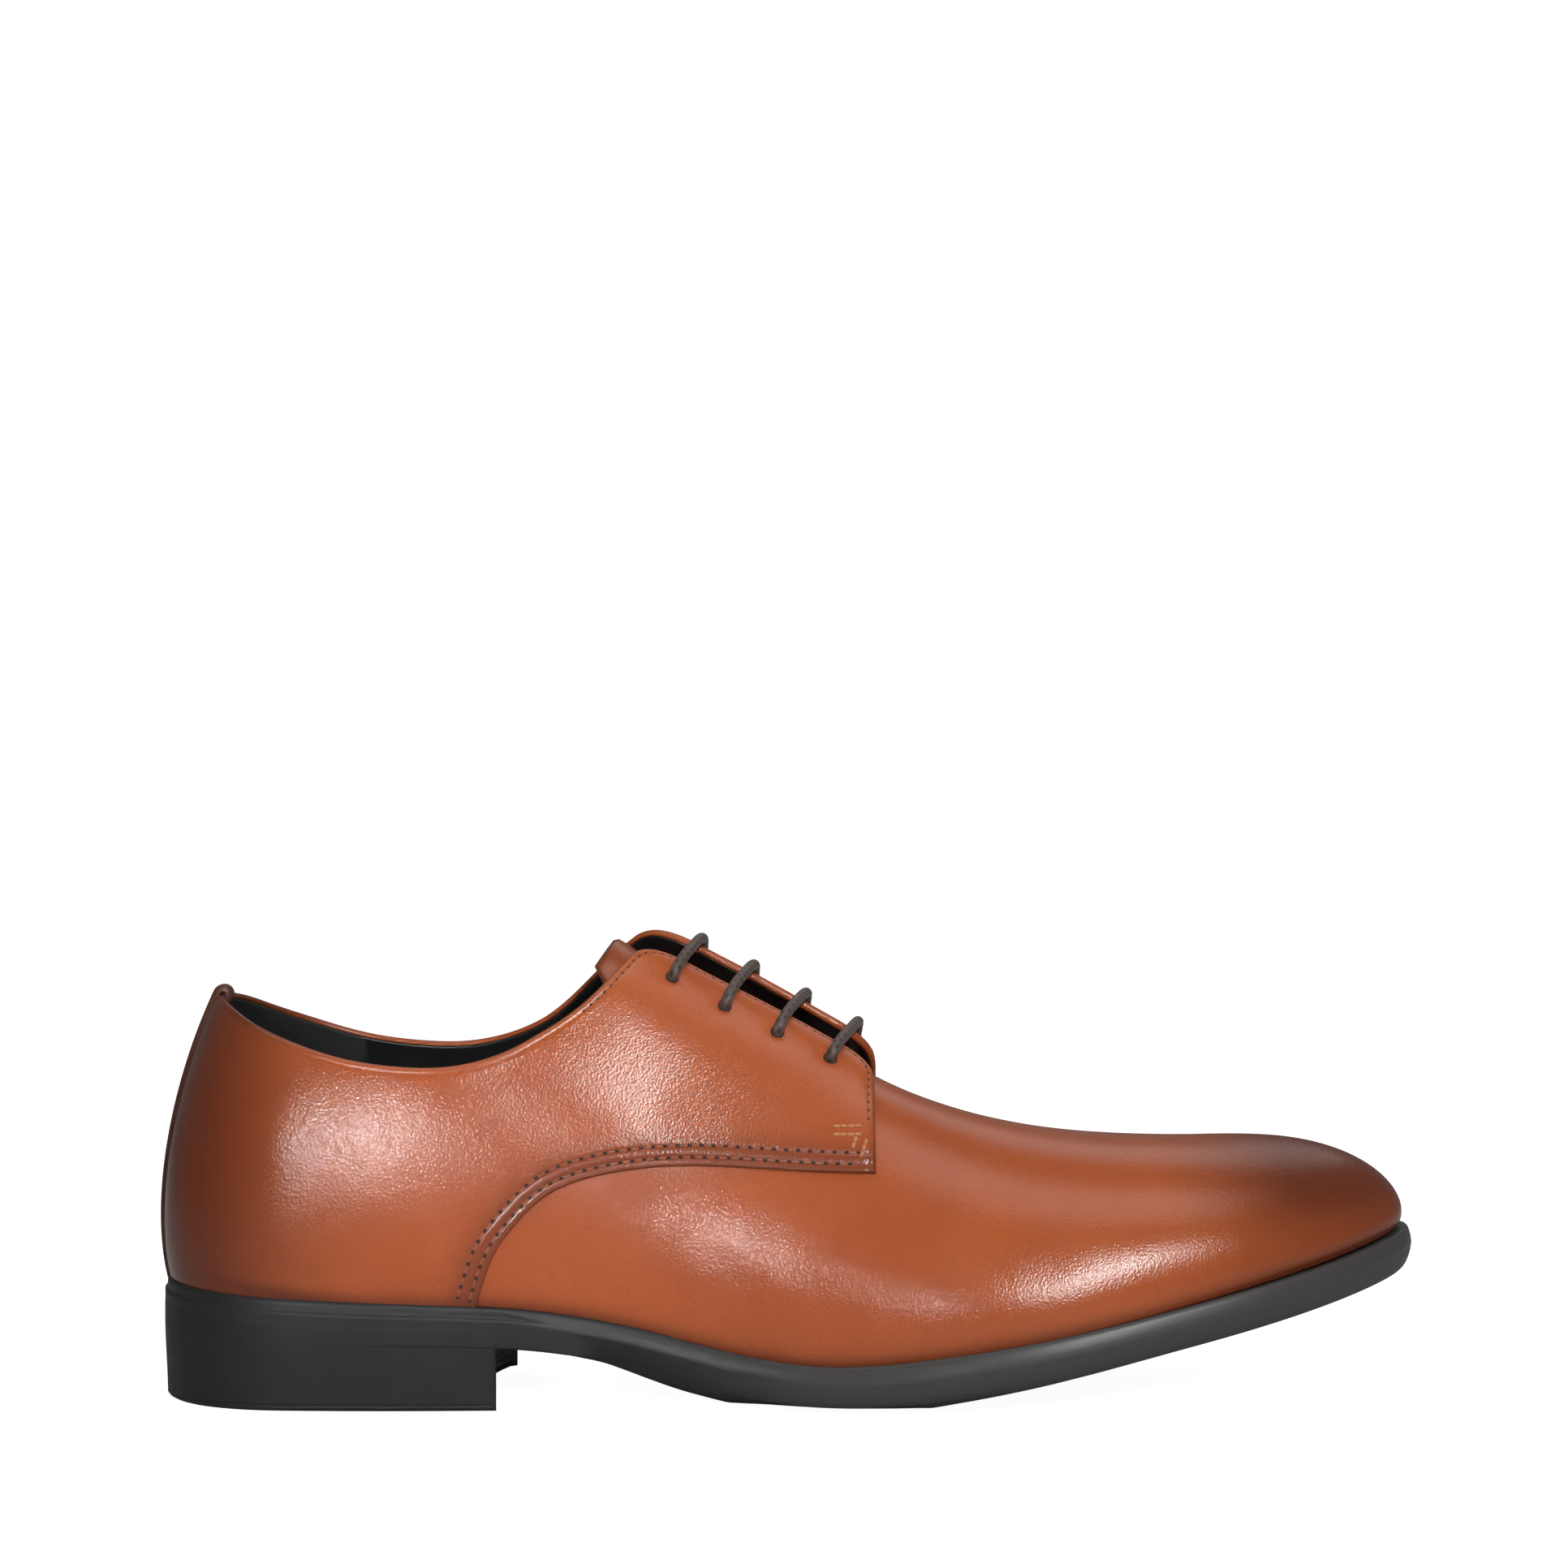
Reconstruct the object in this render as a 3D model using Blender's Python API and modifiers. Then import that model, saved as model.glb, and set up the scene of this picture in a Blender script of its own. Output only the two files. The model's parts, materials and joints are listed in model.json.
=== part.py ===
"""A right-foot derby shoe in smooth leather, with a moulded black sole and a block heel.

The toe points along +X, the foot's outer side is -Y, and the heel and the ball stand on z = 0.
Every length is in metres. The section tables hold shares of the named sizes.
"""

import math

import bmesh
import bpy
import numpy as np
from mathutils import Vector

# Overall sizes
SOLE_LENGTH = 0.308
BALL_WIDTH = 0.1020
HEEL_WIDTH = 0.0690
SEAT_HEIGHT = 0.0290
INSTEP_HEIGHT = 0.1100
BACK_BULGE = 0.0030

# Outsole and heel
EDGE_THICKNESS = 0.0100
WELT_MARGIN = 0.0032
SEAT_MARGIN = 0.0024
FLANK_INSET = 0.0026
TREAD_CROWN = 0.0050
HEEL_LENGTH = 0.0840
HEEL_TAPER = 0.0012
HEEL_EDGE_ROUND = 0.0010
BREAST_HOLLOW = 0.0060

# Upper walls, and how far the quarter laps over the vamp
VAMP_WALL = 0.0018
QUARTER_WALL = 0.0024
LAP = 0.0120
THROAT_LAP = 0.0035
CLEARANCE = 0.0003
SKIRT_SHARE = 0.035

# Throat, facings and eyelets
THROAT_GAP = 0.0150
FACING_FRONT = 0.0220
FACING_CORNER = 0.0085
LATERAL_LIFT = 0.0044
MEDIAL_LIFT = 0.0092
MEDIAL_RISE = 0.0030
EYELET_COUNT = 4
EYELET_SPACING = 0.0129
EYELET_FRONT_INSET = 0.0110
EYELET_SETBACK = 0.0078
EYELET_RADIUS = 0.0020
MEDIAL_EYELET_LEAD = 0.0062
LACE_DIAMETER = 0.0028
LACE_CLEARANCE = 0.0004

# Tongue, insole and backstay
TONGUE_THICKNESS = 0.0018
TONGUE_HALF_WIDTH = 0.0230
TONGUE_ROOT = 0.0290
TONGUE_TOP = -0.0430
INSOLE_THICKNESS = 0.0025
INSOLE_CLEARANCE = 0.0006
BACKSTAY_WIDTH = 0.0090
BACKSTAY_THICKNESS = 0.0012
BACKSTAY_FOLD = 0.0080

# Plan of the sole: station from the heel's back as a share of the length, then the
# lateral and medial half-widths as shares of BALL_WIDTH. The ends are rounded afterwards.
PLAN = (
    (0.00, 0.325, 0.325),
    (0.10, 0.335, 0.333),
    (0.18, 0.342, 0.336),
    (0.28, 0.334, 0.316),
    (0.38, 0.336, 0.302),
    (0.46, 0.368, 0.326),
    (0.54, 0.425, 0.396),
    (0.60, 0.466, 0.460),
    (0.66, 0.487, 0.503),
    (0.72, 0.482, 0.518),
    (0.80, 0.440, 0.490),
    (0.88, 0.372, 0.425),
    (0.94, 0.315, 0.365),
    (1.00, 0.260, 0.310),
)
HEEL_ROUND_SHARE = 0.110
TOE_ROUND_SHARE = 0.170
END_ROUNDNESS = 2.3

# Height of the sole's top edge as a share of SEAT_HEIGHT, and its thickness as one of
# EDGE_THICKNESS.
FEATHER_HEIGHT = (
    (0.00, 1.000),
    (0.07, 0.945),
    (0.14, 0.907),
    (0.21, 0.880),
    (0.27, 0.850),
    (0.33, 0.780),
    (0.38, 0.680),
    (0.43, 0.550),
    (0.48, 0.445),
    (0.53, 0.405),
    (0.58, 0.448),
    (0.63, 0.530),
    (0.70, 0.662),
    (0.78, 0.845),
    (0.86, 1.036),
    (0.94, 1.235),
    (1.00, 1.405),
)
EDGE_SHARE = ((0.00, 1.00), (0.22, 1.00), (0.30, 0.94), (0.42, 0.94), (0.55, 0.96), (0.70, 0.97), (1.00, 0.98))

# How far the sole's side stands in from its outline: depth as a share of the edge's thickness,
# then the inset as a share of FLANK_INSET behind the heel's breast and in front of it.
FLANK = (
    (0.00, 0.24, 0.44),
    (0.08, 0.19, 0.28),
    (0.27, 0.19, 0.10),
    (0.31, 0.00, 0.07),
    (0.45, 0.00, 0.00),
    (0.62, 0.00, 0.03),
    (0.80, 0.00, 0.22),
    (0.93, 0.00, 0.60),
    (1.00, 0.00, 1.00),
)

# Ridge of the last: place along the shoe as a share of SOLE_LENGTH from the origin, height as a
# share of INSTEP_HEIGHT, and sideways place as a share of BALL_WIDTH (positive is medial).
RIDGE = (
    (-0.45, 1.085, 0.000),
    (-0.36, 1.120, 0.010),
    (-0.28, 1.115, 0.026),
    (-0.20, 1.072, 0.045),
    (-0.14, 1.020, 0.055),
    (-0.08, 0.930, 0.050),
    (-0.02, 0.845, 0.035),
    (0.04, 0.752, 0.018),
    (0.08, 0.690, 0.008),
    (0.12, 0.643, 0.004),
    (0.17, 0.603, 0.006),
    (0.23, 0.576, 0.012),
    (0.30, 0.566, 0.022),
    (0.37, 0.568, 0.032),
    (0.45, 0.550, 0.040),
)

# Shape of each section: how far the wall bulges past the sole line, the bulge's height, how
# wide the shoulder stays and its height, all as shares of that section's own width and height.
SECTIONS = (
    (0.00, 1.10, 0.26, 0.84, 0.73),
    (0.08, 1.12, 0.25, 0.83, 0.90),
    (0.14, 1.14, 0.25, 0.83, 0.97),
    (0.22, 1.16, 0.27, 0.84, 0.98),
    (0.36, 1.17, 0.33, 0.78, 0.99),
    (0.50, 1.15, 0.35, 0.62, 0.99),
    (0.62, 1.09, 0.36, 0.62, 1.00),
    (0.72, 1.06, 0.36, 0.68, 1.00),
    (0.82, 1.08, 0.34, 0.74, 0.99),
    (0.92, 1.11, 0.32, 0.76, 0.97),
    (1.00, 1.12, 0.31, 0.76, 0.94),
)
# How far the bulge, the shoulder and the ridge stand forward of the sole line at the two ends.
HEEL_SHIFT = (0.0, -0.0056, 0.0052, 0.0262)
TOE_SHIFT = (0.0, 0.0040, -0.0060, -0.0340)
HEEL_SHIFT_SHARE = 0.22
TOE_SHIFT_SHARE = 0.32

# Collar seen from the side: share of SOLE_LENGTH from the origin, share of INSTEP_HEIGHT.
COLLAR = (
    (-0.520, 0.905),
    (-0.470, 0.893),
    (-0.448, 0.882),
    (-0.423, 0.848),
    (-0.390, 0.809),
    (-0.345, 0.770),
    (-0.300, 0.752),
    (-0.265, 0.751),
    (-0.230, 0.770),
    (-0.195, 0.815),
    (-0.165, 0.882),
    (-0.140, 0.950),
    (-0.120, 0.998),
    (-0.104, 1.022),
    (-0.085, 1.045),
)
COLLAR_TILT = 0.038
CORNER_TILT = 0.100
CORNER_PIVOT = 0.008
CORNER_START = -0.062

# Lower edge of the quarter seen from the side, in the same shares.
QUARTER_EDGE = (
    (-0.2470, 0.130),
    (-0.2380, 0.226),
    (-0.2290, 0.308),
    (-0.2130, 0.385),
    (-0.1900, 0.453),
    (-0.1600, 0.496),
    (-0.1200, 0.519),
    (-0.0700, 0.527),
    (-0.0200, 0.521),
    (0.0300, 0.514),
    (0.0800, 0.512),
)

MIDDLE_COLUMNS = 22
END_ANGLES = (16, 27, 39, 52, 66, 79)
SECTION_ROWS = 13
QUARTER_TOP = 0.955
LATERAL, MEDIAL = -1, 1

SOLE_BACK = -(SOLE_LENGTH - BACK_BULGE) / 2
SOLE_TIP = SOLE_BACK + SOLE_LENGTH
QUARTER_STEP = QUARTER_WALL / 2


def spline(rows, column=1):
    """A natural cubic through one column of a table, as a function of its first column."""
    x = np.array([row[0] for row in rows], float)
    y = np.array([row[column] for row in rows], float)
    h = np.diff(x)
    count = len(x)
    matrix = np.eye(count)
    right = np.zeros(count)
    for i in range(1, count - 1):
        matrix[i, i - 1 : i + 2] = h[i - 1], 2 * (h[i - 1] + h[i]), h[i]
        right[i] = 6 * ((y[i + 1] - y[i]) / h[i] - (y[i] - y[i - 1]) / h[i - 1])
    bend = np.linalg.solve(matrix, right)

    def value(at):
        at = min(max(at, x[0]), x[-1])
        i = min(int(np.searchsorted(x, at, side="right")) - 1, count - 2)
        left, ahead = (x[i + 1] - at) / h[i], (at - x[i]) / h[i]
        curve = (left**3 - left) * bend[i] + (ahead**3 - ahead) * bend[i + 1]
        return left * y[i] + ahead * y[i + 1] + curve * h[i] ** 2 / 6

    return value


def smooth_step(value):
    t = min(max(value, 0.0), 1.0)
    return t * t * (3 - 2 * t)


plan_lateral = spline(PLAN, 1)
plan_medial = spline(PLAN, 2)
feather_share = spline(FEATHER_HEIGHT)
edge_share = spline(EDGE_SHARE)
ridge_height_share = spline(RIDGE, 1)
ridge_side_share = spline(RIDGE, 2)
section_columns = [spline(SECTIONS, column) for column in (1, 2, 3, 4)]
collar_share = spline(COLLAR)
quarter_edge_share = spline(QUARTER_EDGE)


def feather_height(a):
    """Height of the sole's top edge at station a."""
    return SEAT_HEIGHT * feather_share(a)


def edge_bottom(a):
    return feather_height(a) - EDGE_THICKNESS * edge_share(a)


def tread_height(a):
    """Height of the tread on the centre line, flat on the floor under the ball."""
    heel_end = HEEL_LENGTH / SOLE_LENGTH
    crown = smooth_step((a - heel_end - 0.01) / 0.14) * smooth_step((1 - a) / 0.46)
    return max(edge_bottom(a) - TREAD_CROWN * crown, 0.0)


def past_breast(a):
    """0 over the heel block and 1 in front of it, for the sole's side."""
    return smooth_step((a - HEEL_LENGTH / SOLE_LENGTH) / 0.04)


def end_round(a):
    """Closes the plan to a round heel and a round toe."""
    if a < HEEL_ROUND_SHARE:
        gone = (HEEL_ROUND_SHARE - a) / HEEL_ROUND_SHARE
    elif a > 1 - TOE_ROUND_SHARE:
        gone = (a - 1 + TOE_ROUND_SHARE) / TOE_ROUND_SHARE
    else:
        return 1.0
    return (1 - min(gone, 1.0) ** END_ROUNDNESS) ** (1 / END_ROUNDNESS)


def heel_scale(a):
    """Carries HEEL_WIDTH into the plan's rear third, and leaves the forepart to BALL_WIDTH."""
    rear = HEEL_WIDTH / (BALL_WIDTH * (PLAN[2][1] + PLAN[2][2]))
    return 1 + (rear - 1) * (1 - smooth_step((a - 0.2) / 0.3))


def plan_spine(a):
    return BALL_WIDTH * (plan_medial(a) - plan_lateral(a)) / 2


def plan_half(a):
    return BALL_WIDTH * heel_scale(a) * (plan_medial(a) + plan_lateral(a)) / 2


def plan_y(a, side, inset=0.0, share=1.0):
    """Sideways place at a station, an inset in from the sole's edge and a share of the way out."""
    return plan_spine(a) + side * share * (plan_half(a) - inset) * end_round(a)


def sole_x(a, inset=0.0):
    """Place along the shoe of a station on an outline that lies an inset inside the sole's edge."""
    return SOLE_BACK + inset + a * (SOLE_LENGTH - 2 * inset)


def station_at(x):
    """The station whose place on the sole's outer edge is x."""
    return min(max((x - SOLE_BACK) / SOLE_LENGTH, 0.0), 1.0)


def margin(a):
    """Width of the ledge between the sole's edge and the upper."""
    return SEAT_MARGIN + (WELT_MARGIN - SEAT_MARGIN) * smooth_step((a - 0.3) / 0.3)


def end_shift(a, rail):
    back = HEEL_SHIFT[rail] * smooth_step(1 - a / HEEL_SHIFT_SHARE)
    front = TOE_SHIFT[rail] * smooth_step((a - 1 + TOE_SHIFT_SHARE) / TOE_SHIFT_SHARE)
    return back + front


def last_point(a, v, side):
    """The outside of the vamp: four rails along the shoe, crossed by a cubic at each station."""
    bulge, bulge_height, shoulder, shoulder_height = (column(a) for column in section_columns)
    x = sole_x(a, margin(a))
    x_ridge = x + end_shift(a, 3)
    y_foot = plan_y(a, side, margin(a))
    y_ridge = BALL_WIDTH * ridge_side_share(x_ridge / SOLE_LENGTH)
    z_foot = feather_height(a)
    z_ridge = INSTEP_HEIGHT * ridge_height_share(x_ridge / SOLE_LENGTH)
    spine = plan_spine(a)
    rails = (
        Vector((x, y_foot, z_foot)),
        Vector(
            (
                x + end_shift(a, 1),
                spine + (y_foot - spine) * bulge,
                z_foot + (z_ridge - z_foot) * bulge_height,
            )
        ),
        Vector(
            (
                x + end_shift(a, 2),
                y_ridge + (y_foot - y_ridge) * shoulder,
                z_foot + (z_ridge - z_foot) * shoulder_height,
            )
        ),
        Vector((x_ridge, y_ridge, z_ridge)),
    )
    w = 1 - v
    blend = (w**3, 3 * w * w * v, 3 * w * v * v, v**3)
    return sum((rail * share for rail, share in zip(rails, blend)), Vector())


def quarter_point(a, v, side):
    """The middle of the quarter's wall: the same form, with the facings sprung up off the tongue."""
    point = last_point(a, v, side)
    reach = smooth_step((point.x / SOLE_LENGTH + 0.24) / 0.12)
    lift = LATERAL_LIFT
    if side == MEDIAL:
        lift = MEDIAL_LIFT + MEDIAL_RISE * smooth_step((FACING_FRONT - point.x) / 0.05)
    point.z += lift * reach * smooth_step((v - 0.42) / 0.42)
    return point


def round_station(share):
    """How far from a round end its outline reaches a share of the full half-width."""
    return 1 - (1 - share**END_ROUNDNESS) ** (1 / END_ROUNDNESS)


def stations(middle=MIDDLE_COLUMNS):
    """Stations from heel to toe, evenly spaced round the two ends."""
    stay = BACKSTAY_WIDTH / 2 / (plan_half(0) - SEAT_MARGIN)
    shares = [math.sin(math.radians(angle)) ** (2 / END_ROUNDNESS) for angle in END_ANGLES]
    heel = [0.0, HEEL_ROUND_SHARE * round_station(stay)] + [HEEL_ROUND_SHARE * round_station(q) for q in shares]
    toe = [1.0] + [1 - TOE_ROUND_SHARE * round_station(share) for share in shares]
    step = (1 - TOE_ROUND_SHARE - HEEL_ROUND_SHARE) / middle
    return heel + [HEEL_ROUND_SHARE + i * step for i in range(middle + 1)] + toe[::-1]


def columns_round(places):
    """Once round the shoe: out along the lateral side and back along the medial side."""
    out = [(a, LATERAL) for a in places]
    back = [(a, MEDIAL) for a in reversed(places[1:-1])]
    return out + back


def new_object(name, mesh, collection):
    obj = bpy.data.objects.new(name, mesh)
    collection.objects.link(obj)
    return obj


def loft(name, rows, collection, close_rows=False):
    """A skin over rows of points that all run once round, with meeting points welded."""
    bm = bmesh.new()
    made = [[bm.verts.new(point) for point in row] for row in rows]
    pairs = list(zip(made, made[1:]))
    if close_rows:
        pairs.append((made[-1], made[0]))
    for low, high in pairs:
        count = len(low)
        for i in range(count):
            j = (i + 1) % count
            bm.faces.new((low[i], low[j], high[j], high[i]))
    bmesh.ops.remove_doubles(bm, verts=bm.verts, dist=1e-6)
    bmesh.ops.dissolve_degenerate(bm, edges=bm.edges, dist=1e-7)
    bmesh.ops.recalc_face_normals(bm, faces=bm.faces)
    mesh = bpy.data.meshes.new(name)
    bm.to_mesh(mesh)
    bm.free()
    return new_object(name, mesh, collection)


def prism(name, outline, axis, low, high, collection):
    """A flat outline pushed along one axis. The outline gives the other two coordinates in order."""
    bm = bmesh.new()
    others = [i for i in range(3) if i != axis]
    ring = []
    for point in outline:
        place = [0.0, 0.0, 0.0]
        place[axis] = low
        place[others[0]], place[others[1]] = point
        ring.append(bm.verts.new(place))
    face = bm.faces.new(ring)
    made = bmesh.ops.extrude_face_region(bm, geom=[face])
    push = Vector((0, 0, 0))
    push[axis] = high - low
    moved = [item for item in made["geom"] if isinstance(item, bmesh.types.BMVert)]
    bmesh.ops.translate(bm, vec=push, verts=moved)
    bmesh.ops.recalc_face_normals(bm, faces=bm.faces)
    mesh = bpy.data.meshes.new(name)
    bm.to_mesh(mesh)
    bm.free()
    return new_object(name, mesh, collection)


def cut(obj, cutter, operation="DIFFERENCE"):
    modifier = obj.modifiers.new(f"{operation.lower()} {cutter.name}", "BOOLEAN")
    modifier.object = cutter
    modifier.operation = operation
    cutter.display_type = "WIRE"
    cutter.hide_render = True


def solidify(obj, thickness, offset):
    modifier = obj.modifiers.new("wall", "SOLIDIFY")
    modifier.thickness = thickness
    modifier.offset = offset
    modifier.use_even_offset = True


def shell_skin(name, point, collection):
    """The open skin of one form of the upper, carried a little below the sole's top edge."""
    ring = columns_round(stations())
    steps = [i / SECTION_ROWS for i in range(SECTION_ROWS + 1)]
    heights = [-SKIRT_SHARE] + steps
    rows = [[point(a, v, side) for a, side in ring] for v in heights]
    skin = loft(name, rows, collection)
    face_outwards(skin.data)
    return skin


def strip_skin(name, point, places, heights, collection):
    """An open skin round the heel, from one side's last station to the other side's."""
    ring = [(a, LATERAL) for a in reversed(places)] + [(a, MEDIAL) for a in places[1:]]
    bm = bmesh.new()
    grid = [[bm.verts.new(point(a, v, side)) for a, side in ring] for v in heights]
    for low, high in zip(grid, grid[1:]):
        for i in range(len(ring) - 1):
            bm.faces.new((low[i], low[i + 1], high[i + 1], high[i]))
    bmesh.ops.recalc_face_normals(bm, faces=bm.faces)
    mesh = bpy.data.meshes.new(name)
    bm.to_mesh(mesh)
    bm.free()
    if min(mesh.polygons, key=lambda polygon: polygon.center.x).normal.x > 0:
        mesh.flip_normals()
    return new_object(name, mesh, collection)


def face_outwards(mesh):
    """Turns an open skin's faces so that the foremost one looks along +X."""
    front = max(mesh.polygons, key=lambda polygon: polygon.center.x)
    if front.normal.x < 0:
        mesh.flip_normals()


def share_points(function, first, last, count, height=INSTEP_HEIGHT):
    """Points of a side-view line, from shares of the length and of a height."""
    places = np.linspace(first, last, count)
    return [(place * SOLE_LENGTH, height * function(place)) for place in places]


def collar_tilt(x, y):
    """How much higher the collar stands on the medial side, and more so at the facings' tops."""
    corner = smooth_step((x - CORNER_START) / 0.02)
    return COLLAR_TILT * y + CORNER_TILT * corner * (y - CORNER_PIVOT)


def collar_cutter(collection):
    """All above the collar line, tilted so that the medial side stands higher."""
    line = share_points(collar_share, COLLAR[0][0], COLLAR[-1][0], 44)
    top = 2 * INSTEP_HEIGHT
    outline = line + [(line[-1][0], top), (line[0][0], top)]
    cutter = prism("collar_cutter", outline, 1, -BALL_WIDTH, BALL_WIDTH, collection)
    for vertex in cutter.data.vertices:
        vertex.co.z += collar_tilt(vertex.co.x, vertex.co.y)
    return cutter


def throat_line(x):
    """Sideways place of the middle of the throat."""
    return BALL_WIDTH * ridge_side_share(x / SOLE_LENGTH)


def throat_outline():
    """Plan of what is open in front of the facings and between them."""
    half = THROAT_GAP / 2
    back = COLLAR[-1][0] * SOLE_LENGTH - THROAT_GAP
    start = FACING_FRONT - FACING_CORNER
    corner = [i * math.pi / 12 for i in range(7)]
    lateral = [(x, throat_line(x) - half) for x in np.linspace(back, start, 9)]
    for angle in corner[1:]:
        x = start + FACING_CORNER * math.sin(angle)
        y = throat_line(start) - half - FACING_CORNER * (1 - math.cos(angle))
        lateral.append((x, y))
    medial = [(x + 0.0012 if i > 8 else x, 2 * throat_line(min(x, start)) - y)
              for i, (x, y) in enumerate(lateral)]
    far = SOLE_TIP + THROAT_GAP
    wide = BALL_WIDTH
    front_lateral = (FACING_FRONT, -wide)
    front_medial = (FACING_FRONT + 0.0022, wide)
    outline = lateral + [front_lateral, (far, -wide), (far, wide), front_medial]
    return outline + medial[::-1]


def lower_edge_outline(back_by=0.0, up_by=0.0):
    """Side view of all in front of and below the quarter's lower edge, or of a line behind it."""
    line = share_points(quarter_edge_share, QUARTER_EDGE[0][0], QUARTER_EDGE[-1][0], 34)
    line = [(x - back_by, z + up_by) for x, z in line]
    low = -SEAT_HEIGHT
    far = SOLE_TIP + LAP
    return line + [(far, line[-1][1]), (far, low), (line[0][0], low)]


def seat_cutter(collection):
    """All below the sole's top face, raised by the clearance."""
    places = np.linspace(-0.05, 1.05, 45)
    line = [(sole_x(a), feather_height(min(max(a, 0), 1)) + CLEARANCE) for a in places]
    outline = line + [(line[-1][0], -SEAT_HEIGHT), (line[0][0], -SEAT_HEIGHT)]
    return prism("seat_cutter", outline, 1, -BALL_WIDTH, BALL_WIDTH, collection)


def eyelet_places():
    """(x, side, number) of each eyelet, from the front pair to the top pair."""
    places = []
    for number in range(EYELET_COUNT):
        x = FACING_FRONT - EYELET_FRONT_INSET - number * EYELET_SPACING
        places.append((x, LATERAL, number))
        places.append((x + MEDIAL_EYELET_LEAD, MEDIAL, number))
    return places


def on_facing(x, side, setback):
    """The point of the facing's wall a setback outside the throat's edge, and its outward normal."""
    target = throat_line(x) + side * (THROAT_GAP / 2 + setback)

    def found(x_at, y_at):
        low_a, high_a = 0.05, 0.95
        v = 0.8
        for _ in range(3):
            low, high = low_a, high_a
            for _ in range(30):
                a = (low + high) / 2
                if quarter_point(a, v, side).x < x_at:
                    low = a
                else:
                    high = a
            low, high = 0.3, 1.0
            for _ in range(30):
                v = (low + high) / 2
                if side * quarter_point(a, v, side).y > side * y_at:
                    low = v
                else:
                    high = v
        return quarter_point(a, v, side)

    reach = 0.0015
    middle = found(x, target)
    along = found(x + reach, target) - found(x - reach, target)
    across = found(x, target + reach) - found(x, target - reach)
    normal = along.cross(across).normalized()
    if normal.z < 0:
        normal.negate()
    return middle, normal


def cylinder_between(name, start, end, radius, collection, segments=12):
    bm = bmesh.new()
    length = (end - start).length
    bmesh.ops.create_cone(
        bm, cap_ends=True, segments=segments, radius1=radius, radius2=radius, depth=length
    )
    turn = (end - start).to_track_quat("Z", "Y").to_matrix().to_4x4()
    bmesh.ops.transform(bm, matrix=turn, verts=bm.verts)
    bmesh.ops.translate(bm, vec=(start + end) / 2, verts=bm.verts)
    mesh = bpy.data.meshes.new(name)
    bm.to_mesh(mesh)
    bm.free()
    return new_object(name, mesh, collection)


def build_upper(shoe, cutters):
    """Vamp and quarters in one wall, stepped where the quarters lap over the vamp."""
    vamp = shell_skin("vamp_form", last_point, cutters)
    solidify(vamp, VAMP_WALL, -1)
    hidden_edge = prism(
        "vamp_edge_cutter", vamp_back_outline(), 1, -BALL_WIDTH, BALL_WIDTH, cutters
    )
    cut(vamp, hidden_edge)
    places = [a for a in stations() if a < 0.66]
    heights = [-SKIRT_SHARE] + [QUARTER_TOP * i / SECTION_ROWS for i in range(SECTION_ROWS + 1)]
    quarter = strip_skin("upper", quarter_point, places, heights, shoe)
    solidify(quarter, QUARTER_WALL, 0)
    cut(quarter, collar_cutter(cutters))
    cut(quarter, prism("throat_cutter", throat_outline(), 2, SEAT_HEIGHT, 2 * INSTEP_HEIGHT, cutters))
    lower = prism(
        "lower_edge_cutter", lower_edge_outline(), 1, -BALL_WIDTH, BALL_WIDTH, cutters
    )
    cut(quarter, lower)
    seat = seat_cutter(cutters)
    cut(vamp, seat)
    cut(quarter, seat)
    for x, side, number in eyelet_places():
        middle, normal = on_facing(x, side, EYELET_SETBACK)
        reach = normal * QUARTER_WALL
        name = f"eyelet_cutter_{'lateral' if side == LATERAL else 'medial'}_{number}"
        cut(quarter, cylinder_between(name, middle - reach, middle + reach, EYELET_RADIUS, cutters))
    cut(quarter, vamp, "UNION")
    return quarter


def vamp_back_outline():
    """Side view of all behind the vamp's hidden edge, which runs a lap behind the quarter's edge."""
    line = share_points(quarter_edge_share, QUARTER_EDGE[0][0], QUARTER_EDGE[-1][0], 34)
    line = [(x - LAP, z + LAP) for x, z in line if x < -LAP]
    top = 2 * INSTEP_HEIGHT
    throat_back = FACING_FRONT - THROAT_LAP
    low = -SEAT_HEIGHT
    back = SOLE_BACK - LAP
    end = line[-1][1]
    return line + [(throat_back, end), (throat_back, top), (back, top), (back, low), (line[0][0], low)]


def build_outsole(shoe):
    """The full-length sole, rows running from its top centre over the edge to its tread."""
    ring = columns_round(stations())
    rows = []

    def row(share, inset, height):
        line = []
        for a, side in ring:
            x = sole_x(a, inset(a))
            y = plan_y(a, side, inset(a), share)
            line.append(Vector((x, y, height(station_at(x), share))))
        rows.append(line)

    def under(a):
        return FLANK_INSET * past_breast(a)

    def seat(a, _):
        return feather_height(a)

    def tread(a, share):
        rise = max(0.0, (share - 0.55) / 0.45) ** 2
        return tread_height(a) + (edge_bottom(a) - tread_height(a)) * rise

    def flank(depth, behind, before):
        line = []
        for a, side in ring:
            inset = FLANK_INSET * (behind + (before - behind) * past_breast(a))
            x = sole_x(a, inset)
            top, bottom = feather_height(station_at(x)), edge_bottom(station_at(x))
            z = top - depth * (top - bottom)
            line.append(Vector((x, plan_y(a, side, inset), z)))
        rows.append(line)

    row(0.0, margin, seat)
    row(1.0, margin, seat)
    for depth, behind, before in FLANK:
        flank(depth, behind, before)
    for share in (0.85, 0.70, 0.55, 0.25, 0.0):
        row(share, under, tread)
    return loft("outsole", rows, shoe)


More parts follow.
